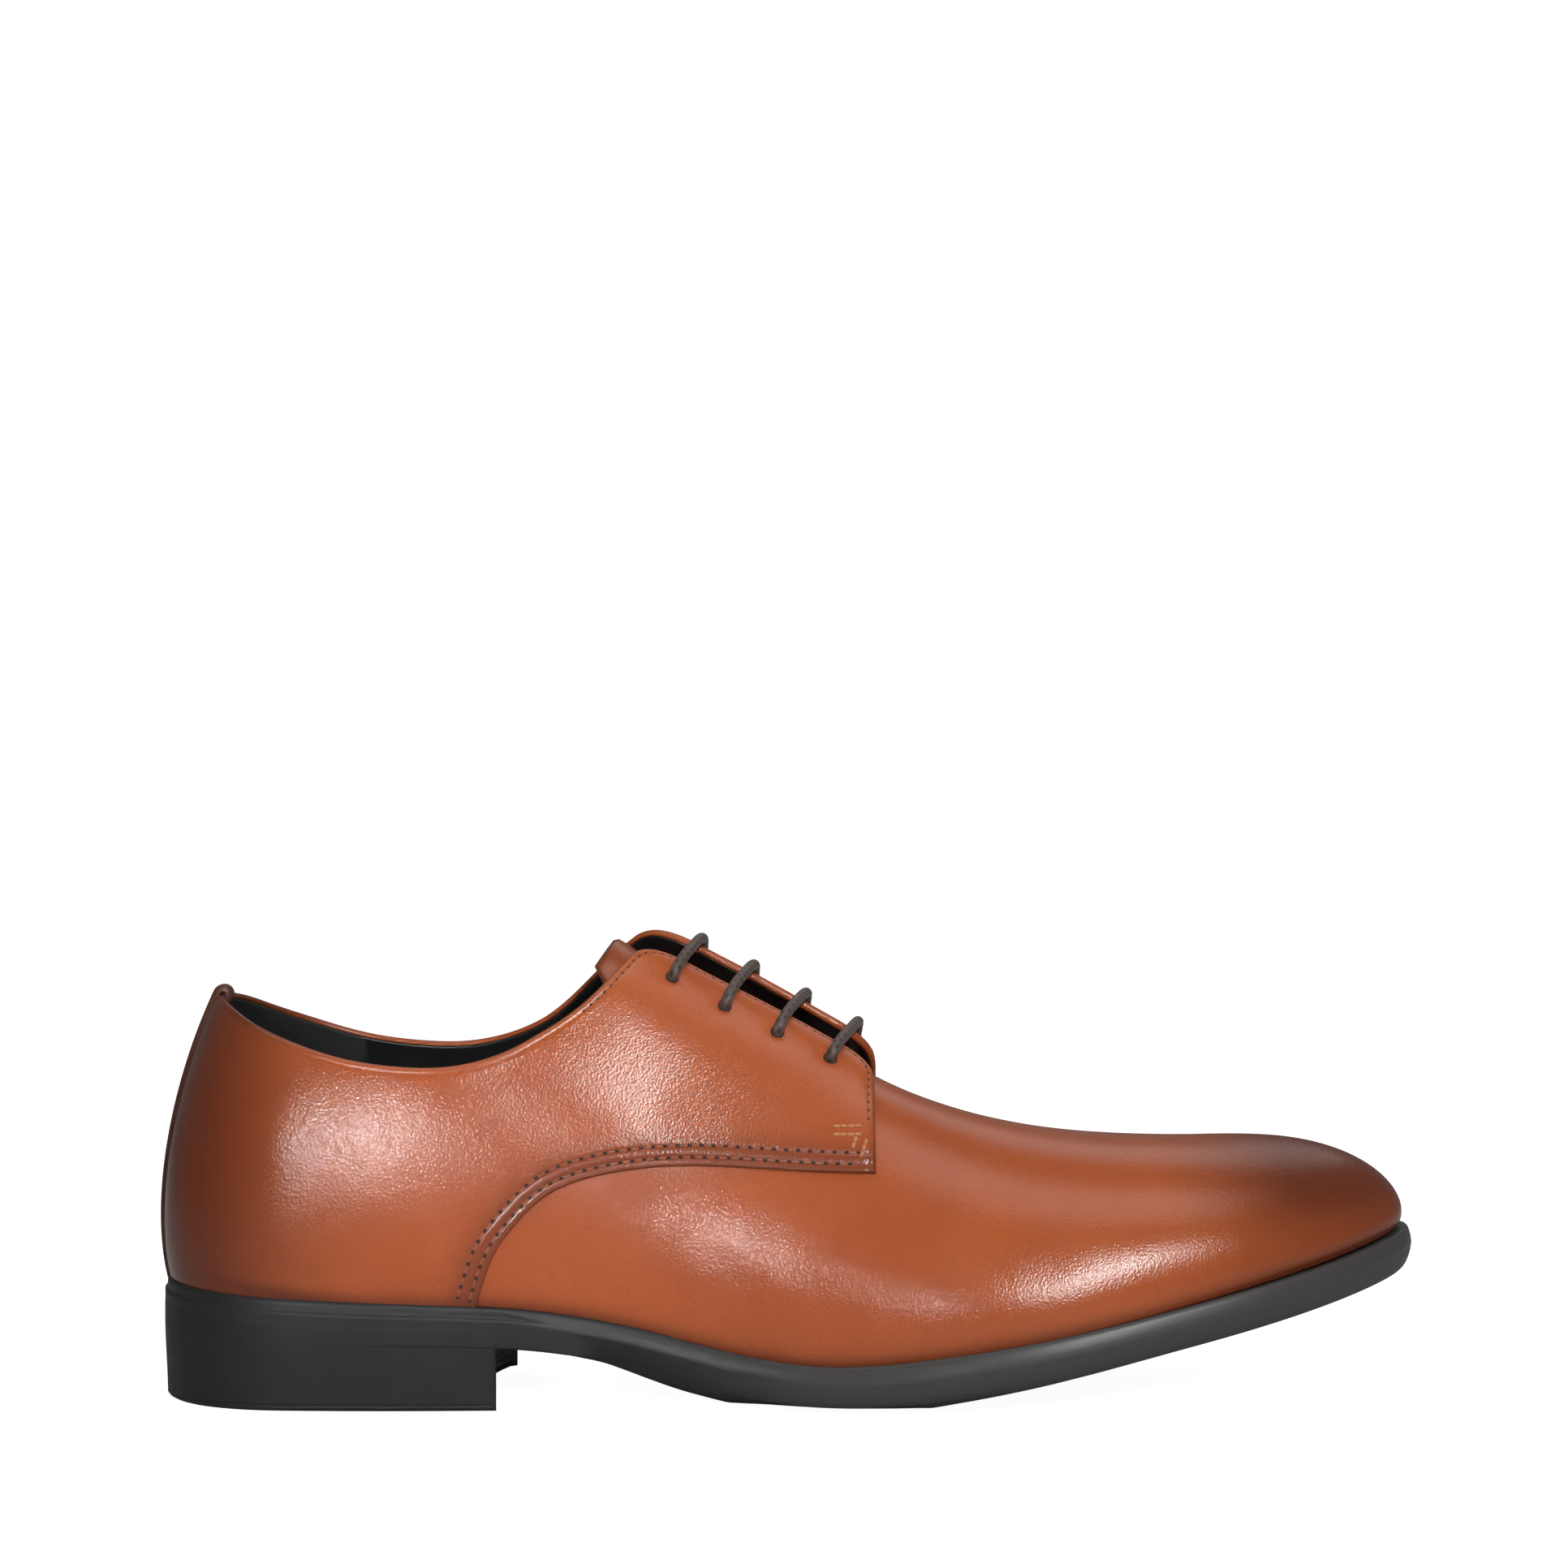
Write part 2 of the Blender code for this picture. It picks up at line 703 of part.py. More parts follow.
def build_heel(shoe, cutters):
    """The heel block, with a hollowed breast, standing flat on the floor."""
    front = HEEL_LENGTH / SOLE_LENGTH
    reach = front + 0.03
    ring = [(a, side) for a, side in columns_round(stations()) if a <= reach]
    half = len(ring) // 2
    ring = ring[half + 1 :] + ring[: half + 1]
    levels = ((None, 0.0), (0.5, 0.5), (HEEL_EDGE_ROUND, 1.0), (0.0003, 1.3), (0.0, 1.9))
    rows = []
    for height, taper in levels:
        line = []
        for a, side in ring:
            top = edge_bottom(a) - CLEARANCE
            z = top if height is None else (top * height if height == 0.5 else height)
            inset = HEEL_TAPER * taper
            line.append(Vector((sole_x(a) + inset * (1 - a / reach), plan_y(a, side, inset), z)))
        rows.append(line)
    bm = bmesh.new()
    made = [[bm.verts.new(point) for point in row] for row in rows]
    for low, high in zip(made, made[1:]):
        for i in range(len(low)):
            j = (i + 1) % len(low)
            bm.faces.new((low[i], low[j], high[j], high[i]))
    for end in (made[0], made[-1]):
        count = len(end)
        for i in range(count // 2 - 1):
            quad = [end[i], end[i + 1], end[count - 2 - i], end[count - 1 - i]]
            bm.faces.new(list(dict.fromkeys(quad)))
        if count % 2:
            middle = count // 2
            bm.faces.new((end[middle - 1], end[middle], end[middle + 1]))
    bmesh.ops.recalc_face_normals(bm, faces=bm.faces)
    mesh = bpy.data.meshes.new("heel")
    bm.to_mesh(mesh)
    bm.free()
    heel = new_object("heel", mesh, shoe)
    chord = plan_half(front)
    radius = (chord**2 + BREAST_HOLLOW**2) / (2 * BREAST_HOLLOW)
    centre = Vector((sole_x(front) + math.sqrt(radius**2 - chord**2), plan_spine(front), 0))
    low = centre - Vector((0, 0, SEAT_HEIGHT))
    cut(heel, cylinder_between("breast_cutter", low, centre + Vector((0, 0, 2 * SEAT_HEIGHT)), radius, cutters, 96))
    return heel


def build_insole(shoe):
    """The sock that lies on the sole inside the upper."""
    ring = columns_round(stations())
    rows = []

    def row(share, above):
        line = []
        for a, side in ring:
            inset = margin(a) + VAMP_WALL + INSOLE_CLEARANCE
            line.append(Vector((sole_x(a, inset), plan_y(a, side, inset, share),
                                feather_height(a) + CLEARANCE + above)))
        rows.append(line)

    row(0.0, 0.0)
    row(1.0, 0.0)
    row(1.0, INSOLE_THICKNESS)
    row(0.0, INSOLE_THICKNESS)
    return loft("insole", rows, shoe)


def build_tongue(shoe, cutters):
    """A tongue under the vamp and the facings, cut from the vamp's own form."""
    places = [i / 16 for i in range(17)]
    first, last = 0.30, 0.62
    shares = [-1 + i / 5 for i in range(11)]
    bm = bmesh.new()
    under = VAMP_WALL + CLEARANCE
    grid = []
    for step in places:
        a = first + (last - first) * step
        line = []
        for share in shares:
            side = LATERAL if share < 0 else MEDIAL
            v = 1 - 0.52 * abs(share)
            line.append(bm.verts.new(last_point(a, v, side)))
        grid.append(line)
    for low, high in zip(grid, grid[1:]):
        for i in range(len(shares) - 1):
            bm.faces.new((low[i], high[i], high[i + 1], low[i + 1]))
    bmesh.ops.recalc_face_normals(bm, faces=bm.faces)
    mesh = bpy.data.meshes.new("tongue")
    bm.to_mesh(mesh)
    bm.free()
    if max(mesh.polygons, key=lambda polygon: polygon.center.z).normal.z < 0:
        mesh.flip_normals()
    form = new_object("tongue_form", mesh, cutters)
    solidify(form, under, -1)
    sunk = sunk_skin(form, under, cutters)
    tongue = sunk
    tongue.name = "tongue"
    shoe.objects.link(tongue)
    cutters.objects.unlink(tongue)
    solidify(tongue, TONGUE_THICKNESS, -1)
    keep = prism("tongue_cutter", tongue_outline(), 2, 0, 2 * INSTEP_HEIGHT, cutters)
    cut(tongue, keep, "INTERSECT")
    return tongue


def sunk_skin(form, depth, collection):
    """The form's open skin moved inwards by a depth along its own normals."""
    mesh = form.data.copy()
    bpy.data.objects.remove(form)
    normals = [vertex.normal.copy() for vertex in mesh.vertices]
    for vertex, normal in zip(mesh.vertices, normals):
        vertex.co -= normal * depth
    return new_object("sunk_skin", mesh, collection)


def tongue_outline():
    """Plan of the tongue: a straight root under the vamp and a wider rounded top end."""
    root, top, half = TONGUE_ROOT, TONGUE_TOP, TONGUE_HALF_WIDTH
    lateral = [
        (root, -0.62 * half),
        (root - 0.02, -0.80 * half),
        (top + 0.025, -half),
        (top + 0.006, -1.02 * half),
        (top + 0.001, -0.97 * half),
        (top - 0.0015, -0.85 * half),
        (top - 0.0008, -0.4 * half),
    ]
    medial = [(x, -y) for x, y in reversed(lateral)]
    spread = [(x, y + throat_line(x)) for x, y in lateral + medial]
    return spread


def build_backstay(shoe):
    """The strip down the back seam, folded over the collar and a little way down inside."""
    edge, beyond = stations()[1:3]
    columns = ((beyond, LATERAL), (edge, LATERAL), (0.0, LATERAL), (edge, MEDIAL), (beyond, MEDIAL))
    gap = QUARTER_STEP + CLEARANCE
    sections = []
    for i in (1, 2, 3):
        line = wall_line(columns[i], columns[i - 1], columns[i + 1])
        layers = []
        for reach in (gap + BACKSTAY_THICKNESS, gap):
            up = reach - QUARTER_STEP
            outside = clipped(line, reach, up)
            inside = clipped(line, -reach, up)
            fold = inside[-1].z - BACKSTAY_FOLD
            inside = resampled(inside, fold, 6)
            layers.append(resampled(outside, feather_height(0) + CLEARANCE, 14) + inside[::-1])
        sections.append(layers[0] + layers[1][::-1])
    bm = bmesh.new()
    made = [[bm.verts.new(point) for point in section] for section in sections]
    count = len(made[0])
    for near, far in zip(made, made[1:]):
        for i in range(count):
            j = (i + 1) % count
            bm.faces.new((near[i], near[j], far[j], far[i]))
    for end in (made[0], made[-1]):
        for i in range(count // 2 - 1):
            bm.faces.new((end[i], end[i + 1], end[count - 2 - i], end[count - 1 - i]))
    bmesh.ops.recalc_face_normals(bm, faces=bm.faces)
    mesh = bpy.data.meshes.new("backstay")
    bm.to_mesh(mesh)
    bm.free()
    return new_object("backstay", mesh, shoe)


def wall_line(column, before, after):
    """Points up the wall's middle at one station, each with the wall's outward direction."""
    line = []
    a, side = column
    for v in [-SKIRT_SHARE] + [QUARTER_TOP * i / SECTION_ROWS for i in range(SECTION_ROWS + 1)]:
        upward = last_point(a, v + 0.01, side) - last_point(a, v - 0.01, side)
        across = last_point(after[0], v, after[1]) - last_point(before[0], v, before[1])
        normal = upward.cross(across).normalized()
        if normal.x > 0:
            normal.negate()
        line.append((last_point(a, v, side), normal))
    return line


def clipped(line, reach, up):
    """The wall line moved outward by a reach, as far as a height above the collar."""
    points = []
    for place, normal in line:
        point = place + normal * reach
        top = INSTEP_HEIGHT * collar_share(point.x / SOLE_LENGTH) + COLLAR_TILT * point.y + up
        if point.z >= top:
            last = points[-1]
            return points + [last.lerp(point, (top - last.z) / (point.z - last.z))]
        points.append(point)
    return points


def resampled(points, low, count):
    """The points of a rising line at equal steps of height, from a low one to its end."""
    heights = [point.z for point in points]
    steps = np.linspace(low, heights[-1], count)
    return [
        Vector((
            np.interp(z, heights, [point.x for point in points]),
            np.interp(z, heights, [point.y for point in points]),
            z,
        ))
        for z in steps
    ]


def build_lace(shoe):
    """One lace: straight bars over the facings, joined by runs underneath them."""
    radius = LACE_DIAMETER / 2
    off = QUARTER_STEP + radius + LACE_CLEARANCE
    lead = {LATERAL: 0.0, MEDIAL: MEDIAL_EYELET_LEAD}

    def eyelet_x(side, row):
        return FACING_FRONT - EYELET_FRONT_INSET - row * EYELET_SPACING + lead[side]

    def through(side, row):
        """Down through one eyelet, from the end of its bar to under the facing."""
        x = eyelet_x(side, row)
        hole, normal = on_facing(x, side, EYELET_SETBACK)
        line = []
        for share, rise in ((-0.10, 1.24), (0.25, 1.18), (0.62, 1.06)):
            place, outward = on_facing(x, side, share * EYELET_SETBACK)
            line.append(place + outward * off * rise)
        steps = (off, QUARTER_STEP, -QUARTER_STEP, -off)
        return line + [hole + normal * step for step in steps]

    def under(side, first, last, aside=0.0):
        """A run under the facing between two rows."""
        points = []
        for row in np.linspace(first, last, 2 + 2 * round(abs(last - first)))[1:-1]:
            place, normal = on_facing(eyelet_x(side, row), side, EYELET_SETBACK - aside)
            points.append(place - normal * (off + 0.0002))
        return points

    aside = LACE_DIAMETER + 2 * LACE_CLEARANCE
    path = under(LATERAL, 3.3, -0.3, aside)
    side = LATERAL
    for row in range(EYELET_COUNT):
        path += through(side, row)[::-1] + through(-side, row)
        side = -side
        if row < EYELET_COUNT - 1:
            path += under(side, row, row + 1)
    return tube("lace", rounded(path), radius, shoe)


def rounded(points, rounds=2):
    """Cuts the corners of a line of points, so that a cord bends smoothly along it."""
    for _ in range(rounds):
        cut_line = [points[0]]
        for first, second in zip(points, points[1:]):
            cut_line += [first.lerp(second, 0.25), first.lerp(second, 0.75)]
        points = cut_line + [points[-1]]
    return points


def tube(name, points, radius, collection):
    """A round cord along the points, as a curve with filled ends."""
    curve = bpy.data.curves.new(name, "CURVE")
    curve.dimensions = "3D"
    curve.bevel_depth = radius
    curve.bevel_resolution = 1
    curve.use_fill_caps = True
    spline_line = curve.splines.new("POLY")
    spline_line.points.add(len(points) - 1)
    for place, point in zip(spline_line.points, points):
        place.co = (*point, 1)
    form = new_object(name, curve, collection)
    graph = bpy.context.evaluated_depsgraph_get()
    mesh = bpy.data.meshes.new_from_object(form.evaluated_get(graph))
    bpy.data.objects.remove(form)
    bm = bmesh.new()
    bm.from_mesh(mesh)
    bmesh.ops.remove_doubles(bm, verts=bm.verts, dist=1e-6)
    bmesh.ops.recalc_face_normals(bm, faces=bm.faces)
    bm.to_mesh(mesh)
    bm.free()
    mesh.name = name
    return new_object(name, mesh, collection)


MATERIALS = {
    "tan_leather": ((0.36, 0.105, 0.030), 0.38),
    "burnished_leather": ((0.17, 0.05, 0.02), 0.42),
    "black_rubber": ((0.018, 0.018, 0.019), 0.55),
    "black_lining": ((0.012, 0.012, 0.013), 0.50),
    "lace_cotton": ((0.075, 0.058, 0.052), 0.60),
}


def material(name):
    colour, roughness = MATERIALS[name]
    made = bpy.data.materials.new(name)
    made.use_nodes = True
    shader = made.node_tree.nodes["Principled BSDF"]
    shader.inputs["Base Color"].default_value = (*colour, 1)
    shader.inputs["Roughness"].default_value = roughness
    shader.inputs["Metallic"].default_value = 0.0
    return made


def main():
    for obj in list(bpy.data.objects):
        bpy.data.objects.remove(obj)
    shoe = bpy.data.collections.new("derby shoe")
    cutters = bpy.data.collections.new("cutters")
    bpy.context.scene.collection.children.link(shoe)
    bpy.context.scene.collection.children.link(cutters)
    finishes = {name: material(name) for name in MATERIALS}
    pieces = [
        (build_upper(shoe, cutters), "tan_leather"),
        (build_outsole(shoe), "black_rubber"),
        (build_heel(shoe, cutters), "black_rubber"),
        (build_insole(shoe), "black_lining"),
        (build_tongue(shoe, cutters), "tan_leather"),
        (build_backstay(shoe), "burnished_leather"),
        (build_lace(shoe), "lace_cotton"),
    ]
    for obj in cutters.objects:
        obj.hide_render = True
        obj.display_type = "WIRE"
    for obj, finish in pieces:
        obj.data.materials.append(finishes[finish])
        if obj.type == "MESH":
            obj.data.shade_smooth()


main()
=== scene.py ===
"""Looks of the derby shoe: leather panels, lining, stitching, lace and moulded sole.

The toe points along +X, the foot's outer side is -Y, and every length is in metres. The form and
its tables are those of the CAD part, so each piece here lies on the solid that it stands for.
"""

import json
import math

import bmesh
import bpy
import numpy as np
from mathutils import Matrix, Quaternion, Vector

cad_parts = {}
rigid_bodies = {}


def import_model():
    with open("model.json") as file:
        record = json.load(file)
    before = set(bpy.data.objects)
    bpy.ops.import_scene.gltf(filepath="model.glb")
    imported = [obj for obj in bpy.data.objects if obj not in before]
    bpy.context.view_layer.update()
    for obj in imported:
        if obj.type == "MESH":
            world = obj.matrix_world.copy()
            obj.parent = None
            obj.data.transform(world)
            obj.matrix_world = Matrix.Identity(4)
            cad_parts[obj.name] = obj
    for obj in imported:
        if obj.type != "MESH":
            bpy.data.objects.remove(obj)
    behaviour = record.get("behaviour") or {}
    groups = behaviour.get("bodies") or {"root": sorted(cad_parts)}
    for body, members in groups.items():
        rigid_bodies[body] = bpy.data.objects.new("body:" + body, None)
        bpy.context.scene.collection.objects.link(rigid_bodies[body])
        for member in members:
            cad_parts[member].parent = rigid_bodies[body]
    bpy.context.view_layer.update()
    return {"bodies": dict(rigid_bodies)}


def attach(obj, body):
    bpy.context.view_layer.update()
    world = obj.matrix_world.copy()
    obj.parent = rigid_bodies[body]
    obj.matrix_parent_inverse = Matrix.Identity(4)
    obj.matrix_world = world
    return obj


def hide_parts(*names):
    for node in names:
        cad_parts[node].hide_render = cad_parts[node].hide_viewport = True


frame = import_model()

MM = 0.001
LATERAL, MEDIAL = -1, 1

# Sizes of the CAD part
SOLE_LENGTH = 0.308
BALL_WIDTH = 0.1020
HEEL_WIDTH = 0.0690
SEAT_HEIGHT = 0.0290
INSTEP_HEIGHT = 0.1100
BACK_BULGE = 0.0030
EDGE_THICKNESS = 0.0100
WELT_MARGIN = 0.0032
SEAT_MARGIN = 0.0024
TREAD_CROWN = 0.0050
HEEL_LENGTH = 0.0840
HEEL_TAPER = 0.0012
BREAST_HOLLOW = 0.0060
VAMP_WALL = 0.0018
QUARTER_WALL = 0.0024
LAP = 0.0120
THROAT_LAP = 0.0035
CLEARANCE = 0.0003
THROAT_GAP = 0.0150
FACING_FRONT = 0.0220
FACING_CORNER = 0.0085
FACING_LIFT = {LATERAL: 0.0044, MEDIAL: 0.0092}
MEDIAL_RISE = 0.0030
MEDIAL_CORNER_LEAD = 0.0012
MEDIAL_FRONT_LEAD = 0.0018
EYELET_COUNT = 4
EYELET_SPACING = 0.0129
EYELET_FRONT_INSET = 0.0110
EYELET_SETBACK = 0.0078
MEDIAL_EYELET_LEAD = 0.0062
LACE_DIAMETER = 0.0028
LACE_CLEARANCE = 0.0004
TONGUE_THICKNESS = 0.0018
TONGUE_HALF_WIDTH = 0.0230
TONGUE_ROOT = 0.0290
TONGUE_TOP = -0.0430
INSOLE_CLEARANCE = 0.0006
BACKSTAY_WIDTH = 0.0090
BACKSTAY_THICKNESS = 0.0012

# Plan of the sole: station, lateral and medial half-widths as shares of BALL_WIDTH
PLAN = (
    (0.00, 0.325, 0.325),
    (0.10, 0.335, 0.333),
    (0.18, 0.342, 0.336),
    (0.28, 0.334, 0.316),
    (0.38, 0.336, 0.302),
    (0.46, 0.368, 0.326),
    (0.54, 0.425, 0.396),
    (0.60, 0.466, 0.460),
    (0.66, 0.487, 0.503),
    (0.72, 0.482, 0.518),
    (0.80, 0.440, 0.490),
    (0.88, 0.372, 0.425),
    (0.94, 0.315, 0.365),
    (1.00, 0.260, 0.310),
)
HEEL_ROUND_SHARE = 0.110
TOE_ROUND_SHARE = 0.170
END_ROUNDNESS = 2.3

# Height of the sole's top edge as a share of SEAT_HEIGHT, and its thickness as one of
# EDGE_THICKNESS
FEATHER_HEIGHT = (
    (0.00, 1.000),
    (0.07, 0.945),
    (0.14, 0.907),
    (0.21, 0.880),
    (0.27, 0.850),
    (0.33, 0.780),
    (0.38, 0.680),
    (0.43, 0.550),
    (0.48, 0.445),
    (0.53, 0.405),
    (0.58, 0.448),
    (0.63, 0.530),
    (0.70, 0.662),
    (0.78, 0.845),
    (0.86, 1.036),
    (0.94, 1.235),
    (1.00, 1.405),
)
EDGE_SHARE = (
    (0.00, 1.00),
    (0.22, 1.00),
    (0.30, 0.94),
    (0.42, 0.94),
    (0.55, 0.96),
    (0.70, 0.97),
    (1.00, 0.98),
)

# Ridge of the last: place along the shoe as a share of SOLE_LENGTH, height as a share of
# INSTEP_HEIGHT, and sideways place as a share of BALL_WIDTH
RIDGE = (
    (-0.45, 1.085, 0.000),
    (-0.36, 1.120, 0.010),
    (-0.28, 1.115, 0.026),
    (-0.20, 1.072, 0.045),
    (-0.14, 1.020, 0.055),
    (-0.08, 0.930, 0.050),
    (-0.02, 0.845, 0.035),
    (0.04, 0.752, 0.018),
    (0.08, 0.690, 0.008),
    (0.12, 0.643, 0.004),
    (0.17, 0.603, 0.006),
    (0.23, 0.576, 0.012),
    (0.30, 0.566, 0.022),
    (0.37, 0.568, 0.032),
    (0.45, 0.550, 0.040),
)

# Sections: station, width and height of the bulge, then of the shoulder, as shares
SECTIONS = (
    (0.00, 1.10, 0.26, 0.84, 0.73),
    (0.08, 1.12, 0.25, 0.83, 0.90),
    (0.14, 1.14, 0.25, 0.83, 0.97),
    (0.22, 1.16, 0.27, 0.84, 0.98),
    (0.36, 1.17, 0.33, 0.78, 0.99),
    (0.50, 1.15, 0.35, 0.62, 0.99),
    (0.62, 1.09, 0.36, 0.62, 1.00),
    (0.72, 1.06, 0.36, 0.68, 1.00),
    (0.82, 1.08, 0.34, 0.74, 0.99),
    (0.92, 1.11, 0.32, 0.76, 0.97),
    (1.00, 1.12, 0.31, 0.76, 0.94),
)
HEEL_SHIFT = (0.0, -0.0056, 0.0052, 0.0262)
TOE_SHIFT = (0.0, 0.0040, -0.0060, -0.0340)
HEEL_SHIFT_SHARE = 0.22
TOE_SHIFT_SHARE = 0.32

# Collar and the quarter's lower edge from the side: shares of SOLE_LENGTH and INSTEP_HEIGHT
COLLAR = (
    (-0.520, 0.905),
    (-0.470, 0.893),
    (-0.448, 0.882),
    (-0.423, 0.848),
    (-0.390, 0.809),
    (-0.345, 0.770),
    (-0.300, 0.752),
    (-0.265, 0.751),
    (-0.230, 0.770),
    (-0.195, 0.815),
    (-0.165, 0.882),
    (-0.140, 0.950),
    (-0.120, 0.998),
    (-0.104, 1.022),
    (-0.085, 1.045),
)
COLLAR_TILT = 0.038
CORNER_TILT = 0.100
CORNER_PIVOT = 0.008
CORNER_START = -0.062
QUARTER_EDGE = (
    (-0.2470, 0.130),
    (-0.2380, 0.226),
    (-0.2290, 0.308),
    (-0.2130, 0.385),
    (-0.1900, 0.453),
    (-0.1600, 0.496),
    (-0.1200, 0.519),
    (-0.0700, 0.527),
    (-0.0200, 0.521),
    (0.0300, 0.514),
    (0.0800, 0.512),
)

SOLE_BACK = -(SOLE_LENGTH - BACK_BULGE) / 2
QUARTER_STEP = QUARTER_WALL / 2
BREAST = HEEL_LENGTH / SOLE_LENGTH
FOOT = -0.012


# The form of the shoe, taken for whole arrays of points at once


def spline(rows, column=1):
    """A natural cubic through one column of a table, as a function of its first column."""
    x = np.array([row[0] for row in rows], float)
    y = np.array([row[column] for row in rows], float)
    h = np.diff(x)
    count = len(x)
    matrix = np.eye(count)
    right = np.zeros(count)
    for i in range(1, count - 1):
        matrix[i, i - 1 : i + 2] = h[i - 1], 2 * (h[i - 1] + h[i]), h[i]
        right[i] = 6 * ((y[i + 1] - y[i]) / h[i] - (y[i] - y[i - 1]) / h[i - 1])
    bend = np.linalg.solve(matrix, right)

    def value(at):
        at = np.clip(at, x[0], x[-1])
        i = np.clip(np.searchsorted(x, at, side="right") - 1, 0, count - 2)
        left, ahead = (x[i + 1] - at) / h[i], (at - x[i]) / h[i]
        curve = (left**3 - left) * bend[i] + (ahead**3 - ahead) * bend[i + 1]
        return left * y[i] + ahead * y[i + 1] + curve * h[i] ** 2 / 6

    return value


def smooth_step(value):
    t = np.clip(value, 0.0, 1.0)
    return t * t * (3 - 2 * t)


def hump(value):
    """A soft bell, 1 at zero and almost nothing past 2."""
    return np.exp(-np.square(value))


plan_lateral = spline(PLAN, 1)
plan_medial = spline(PLAN, 2)
feather_share = spline(FEATHER_HEIGHT)
edge_share = spline(EDGE_SHARE)
ridge_height_share = spline(RIDGE, 1)
ridge_side_share = spline(RIDGE, 2)
section_columns = [spline(SECTIONS, column) for column in (1, 2, 3, 4)]
collar_share = spline(COLLAR)
quarter_edge_share = spline(QUARTER_EDGE)


def feather_height(a):
    return SEAT_HEIGHT * feather_share(a)


def edge_bottom(a):
    return feather_height(a) - EDGE_THICKNESS * edge_share(a)


def tread_height(a):
    crown = smooth_step((a - BREAST - 0.01) / 0.14) * smooth_step((1 - a) / 0.46)
    return np.maximum(edge_bottom(a) - TREAD_CROWN * crown, 0.0)


def end_round(a):
    heel = np.clip((HEEL_ROUND_SHARE - a) / HEEL_ROUND_SHARE, 0, 1)
    toe = np.clip((a - 1 + TOE_ROUND_SHARE) / TOE_ROUND_SHARE, 0, 1)
    gone = np.maximum(heel, toe)
    return (1 - gone**END_ROUNDNESS) ** (1 / END_ROUNDNESS)


def heel_scale(a):
    rear = HEEL_WIDTH / (BALL_WIDTH * (PLAN[2][1] + PLAN[2][2]))
    return 1 + (rear - 1) * (1 - smooth_step((a - 0.2) / 0.3))


def plan_spine(a):
    return BALL_WIDTH * (plan_medial(a) - plan_lateral(a)) / 2


def plan_half(a):
    return BALL_WIDTH * heel_scale(a) * (plan_medial(a) + plan_lateral(a)) / 2


def plan_y(a, side, inset=0.0, share=1.0):
    return plan_spine(a) + side * share * (plan_half(a) - inset) * end_round(a)


def sole_x(a, inset=0.0):
    return SOLE_BACK + inset + a * (SOLE_LENGTH - 2 * inset)


def station_at(x):
    return np.clip((x - SOLE_BACK) / SOLE_LENGTH, 0.0, 1.0)


def margin(a):
    return SEAT_MARGIN + (WELT_MARGIN - SEAT_MARGIN) * smooth_step((a - 0.3) / 0.3)


def end_shift(a, rail):
    back = HEEL_SHIFT[rail] * smooth_step(1 - a / HEEL_SHIFT_SHARE)
    front = TOE_SHIFT[rail] * smooth_step((a - 1 + TOE_SHIFT_SHARE) / TOE_SHIFT_SHARE)
    return back + front


def last_points(a, v, side):
    """The outside of the vamp: four rails along the shoe, crossed by a cubic at each station."""
    a, v, side = np.broadcast_arrays(np.asarray(a, float), v, side)
    bulge, bulge_height, shoulder, shoulder_height = (column(a) for column in section_columns)
    x = sole_x(a, margin(a))
    x_ridge = x + end_shift(a, 3)
    y_foot = plan_y(a, side, margin(a))
    y_ridge = BALL_WIDTH * ridge_side_share(x_ridge / SOLE_LENGTH)
    z_foot = feather_height(a)
    rise = INSTEP_HEIGHT * ridge_height_share(x_ridge / SOLE_LENGTH) - z_foot
    spine = plan_spine(a)
    rails = (
        (x, y_foot, z_foot),
        (x + end_shift(a, 1), spine + (y_foot - spine) * bulge, z_foot + rise * bulge_height),
        (
            x + end_shift(a, 2),
            y_ridge + (y_foot - y_ridge) * shoulder,
            z_foot + rise * shoulder_height,
        ),
        (x_ridge, y_ridge, z_foot + rise),
    )
    w = 1 - v
    blend = (w**3, 3 * w * w * v, 3 * w * v * v, v**3)
    return sum(np.stack(rail, -1) * share[..., None] for rail, share in zip(rails, blend))


def quarter_points(a, v, side):
    """The middle of the quarter's wall: the same form, with the facings sprung off the tongue."""
    points = last_points(a, v, side)
    reach = smooth_step((points[..., 0] / SOLE_LENGTH + 0.24) / 0.12)
    rise = MEDIAL_RISE * smooth_step((FACING_FRONT - points[..., 0]) / 0.05)
    medial = FACING_LIFT[MEDIAL] + rise
    lift = np.where(np.asarray(side) == LATERAL, FACING_LIFT[LATERAL], medial)
    points[..., 2] += lift * reach * smooth_step((np.asarray(v) - 0.42) / 0.42)
    return points


def over_collar(points):
    """Height of points above the collar line, which stands higher on the medial side."""
    x, y, z = points[..., 0], points[..., 1], points[..., 2]
    corner = smooth_step((x - CORNER_START) / 0.02)
    tilt = COLLAR_TILT * y + CORNER_TILT * corner * (y - CORNER_PIVOT)
    return z - INSTEP_HEIGHT * collar_share(x / SOLE_LENGTH) - tilt


def throat_line(x):
    return BALL_WIDTH * ridge_side_share(x / SOLE_LENGTH)


def round_station(share):
    return 1 - (1 - share**END_ROUNDNESS) ** (1 / END_ROUNDNESS)


# Finding places on the form


def solve_rising(function, target, low, high, rounds=34):
    """Where a rising function reaches its target, for each item of an array."""
    low = np.full(np.shape(target), float(low))
    high = np.full(np.shape(target), float(high))
    for _ in range(rounds):
        middle = (low + high) / 2
        short = function(middle) < target
        low = np.where(short, middle, low)
        high = np.where(short, high, middle)
    return (low + high) / 2


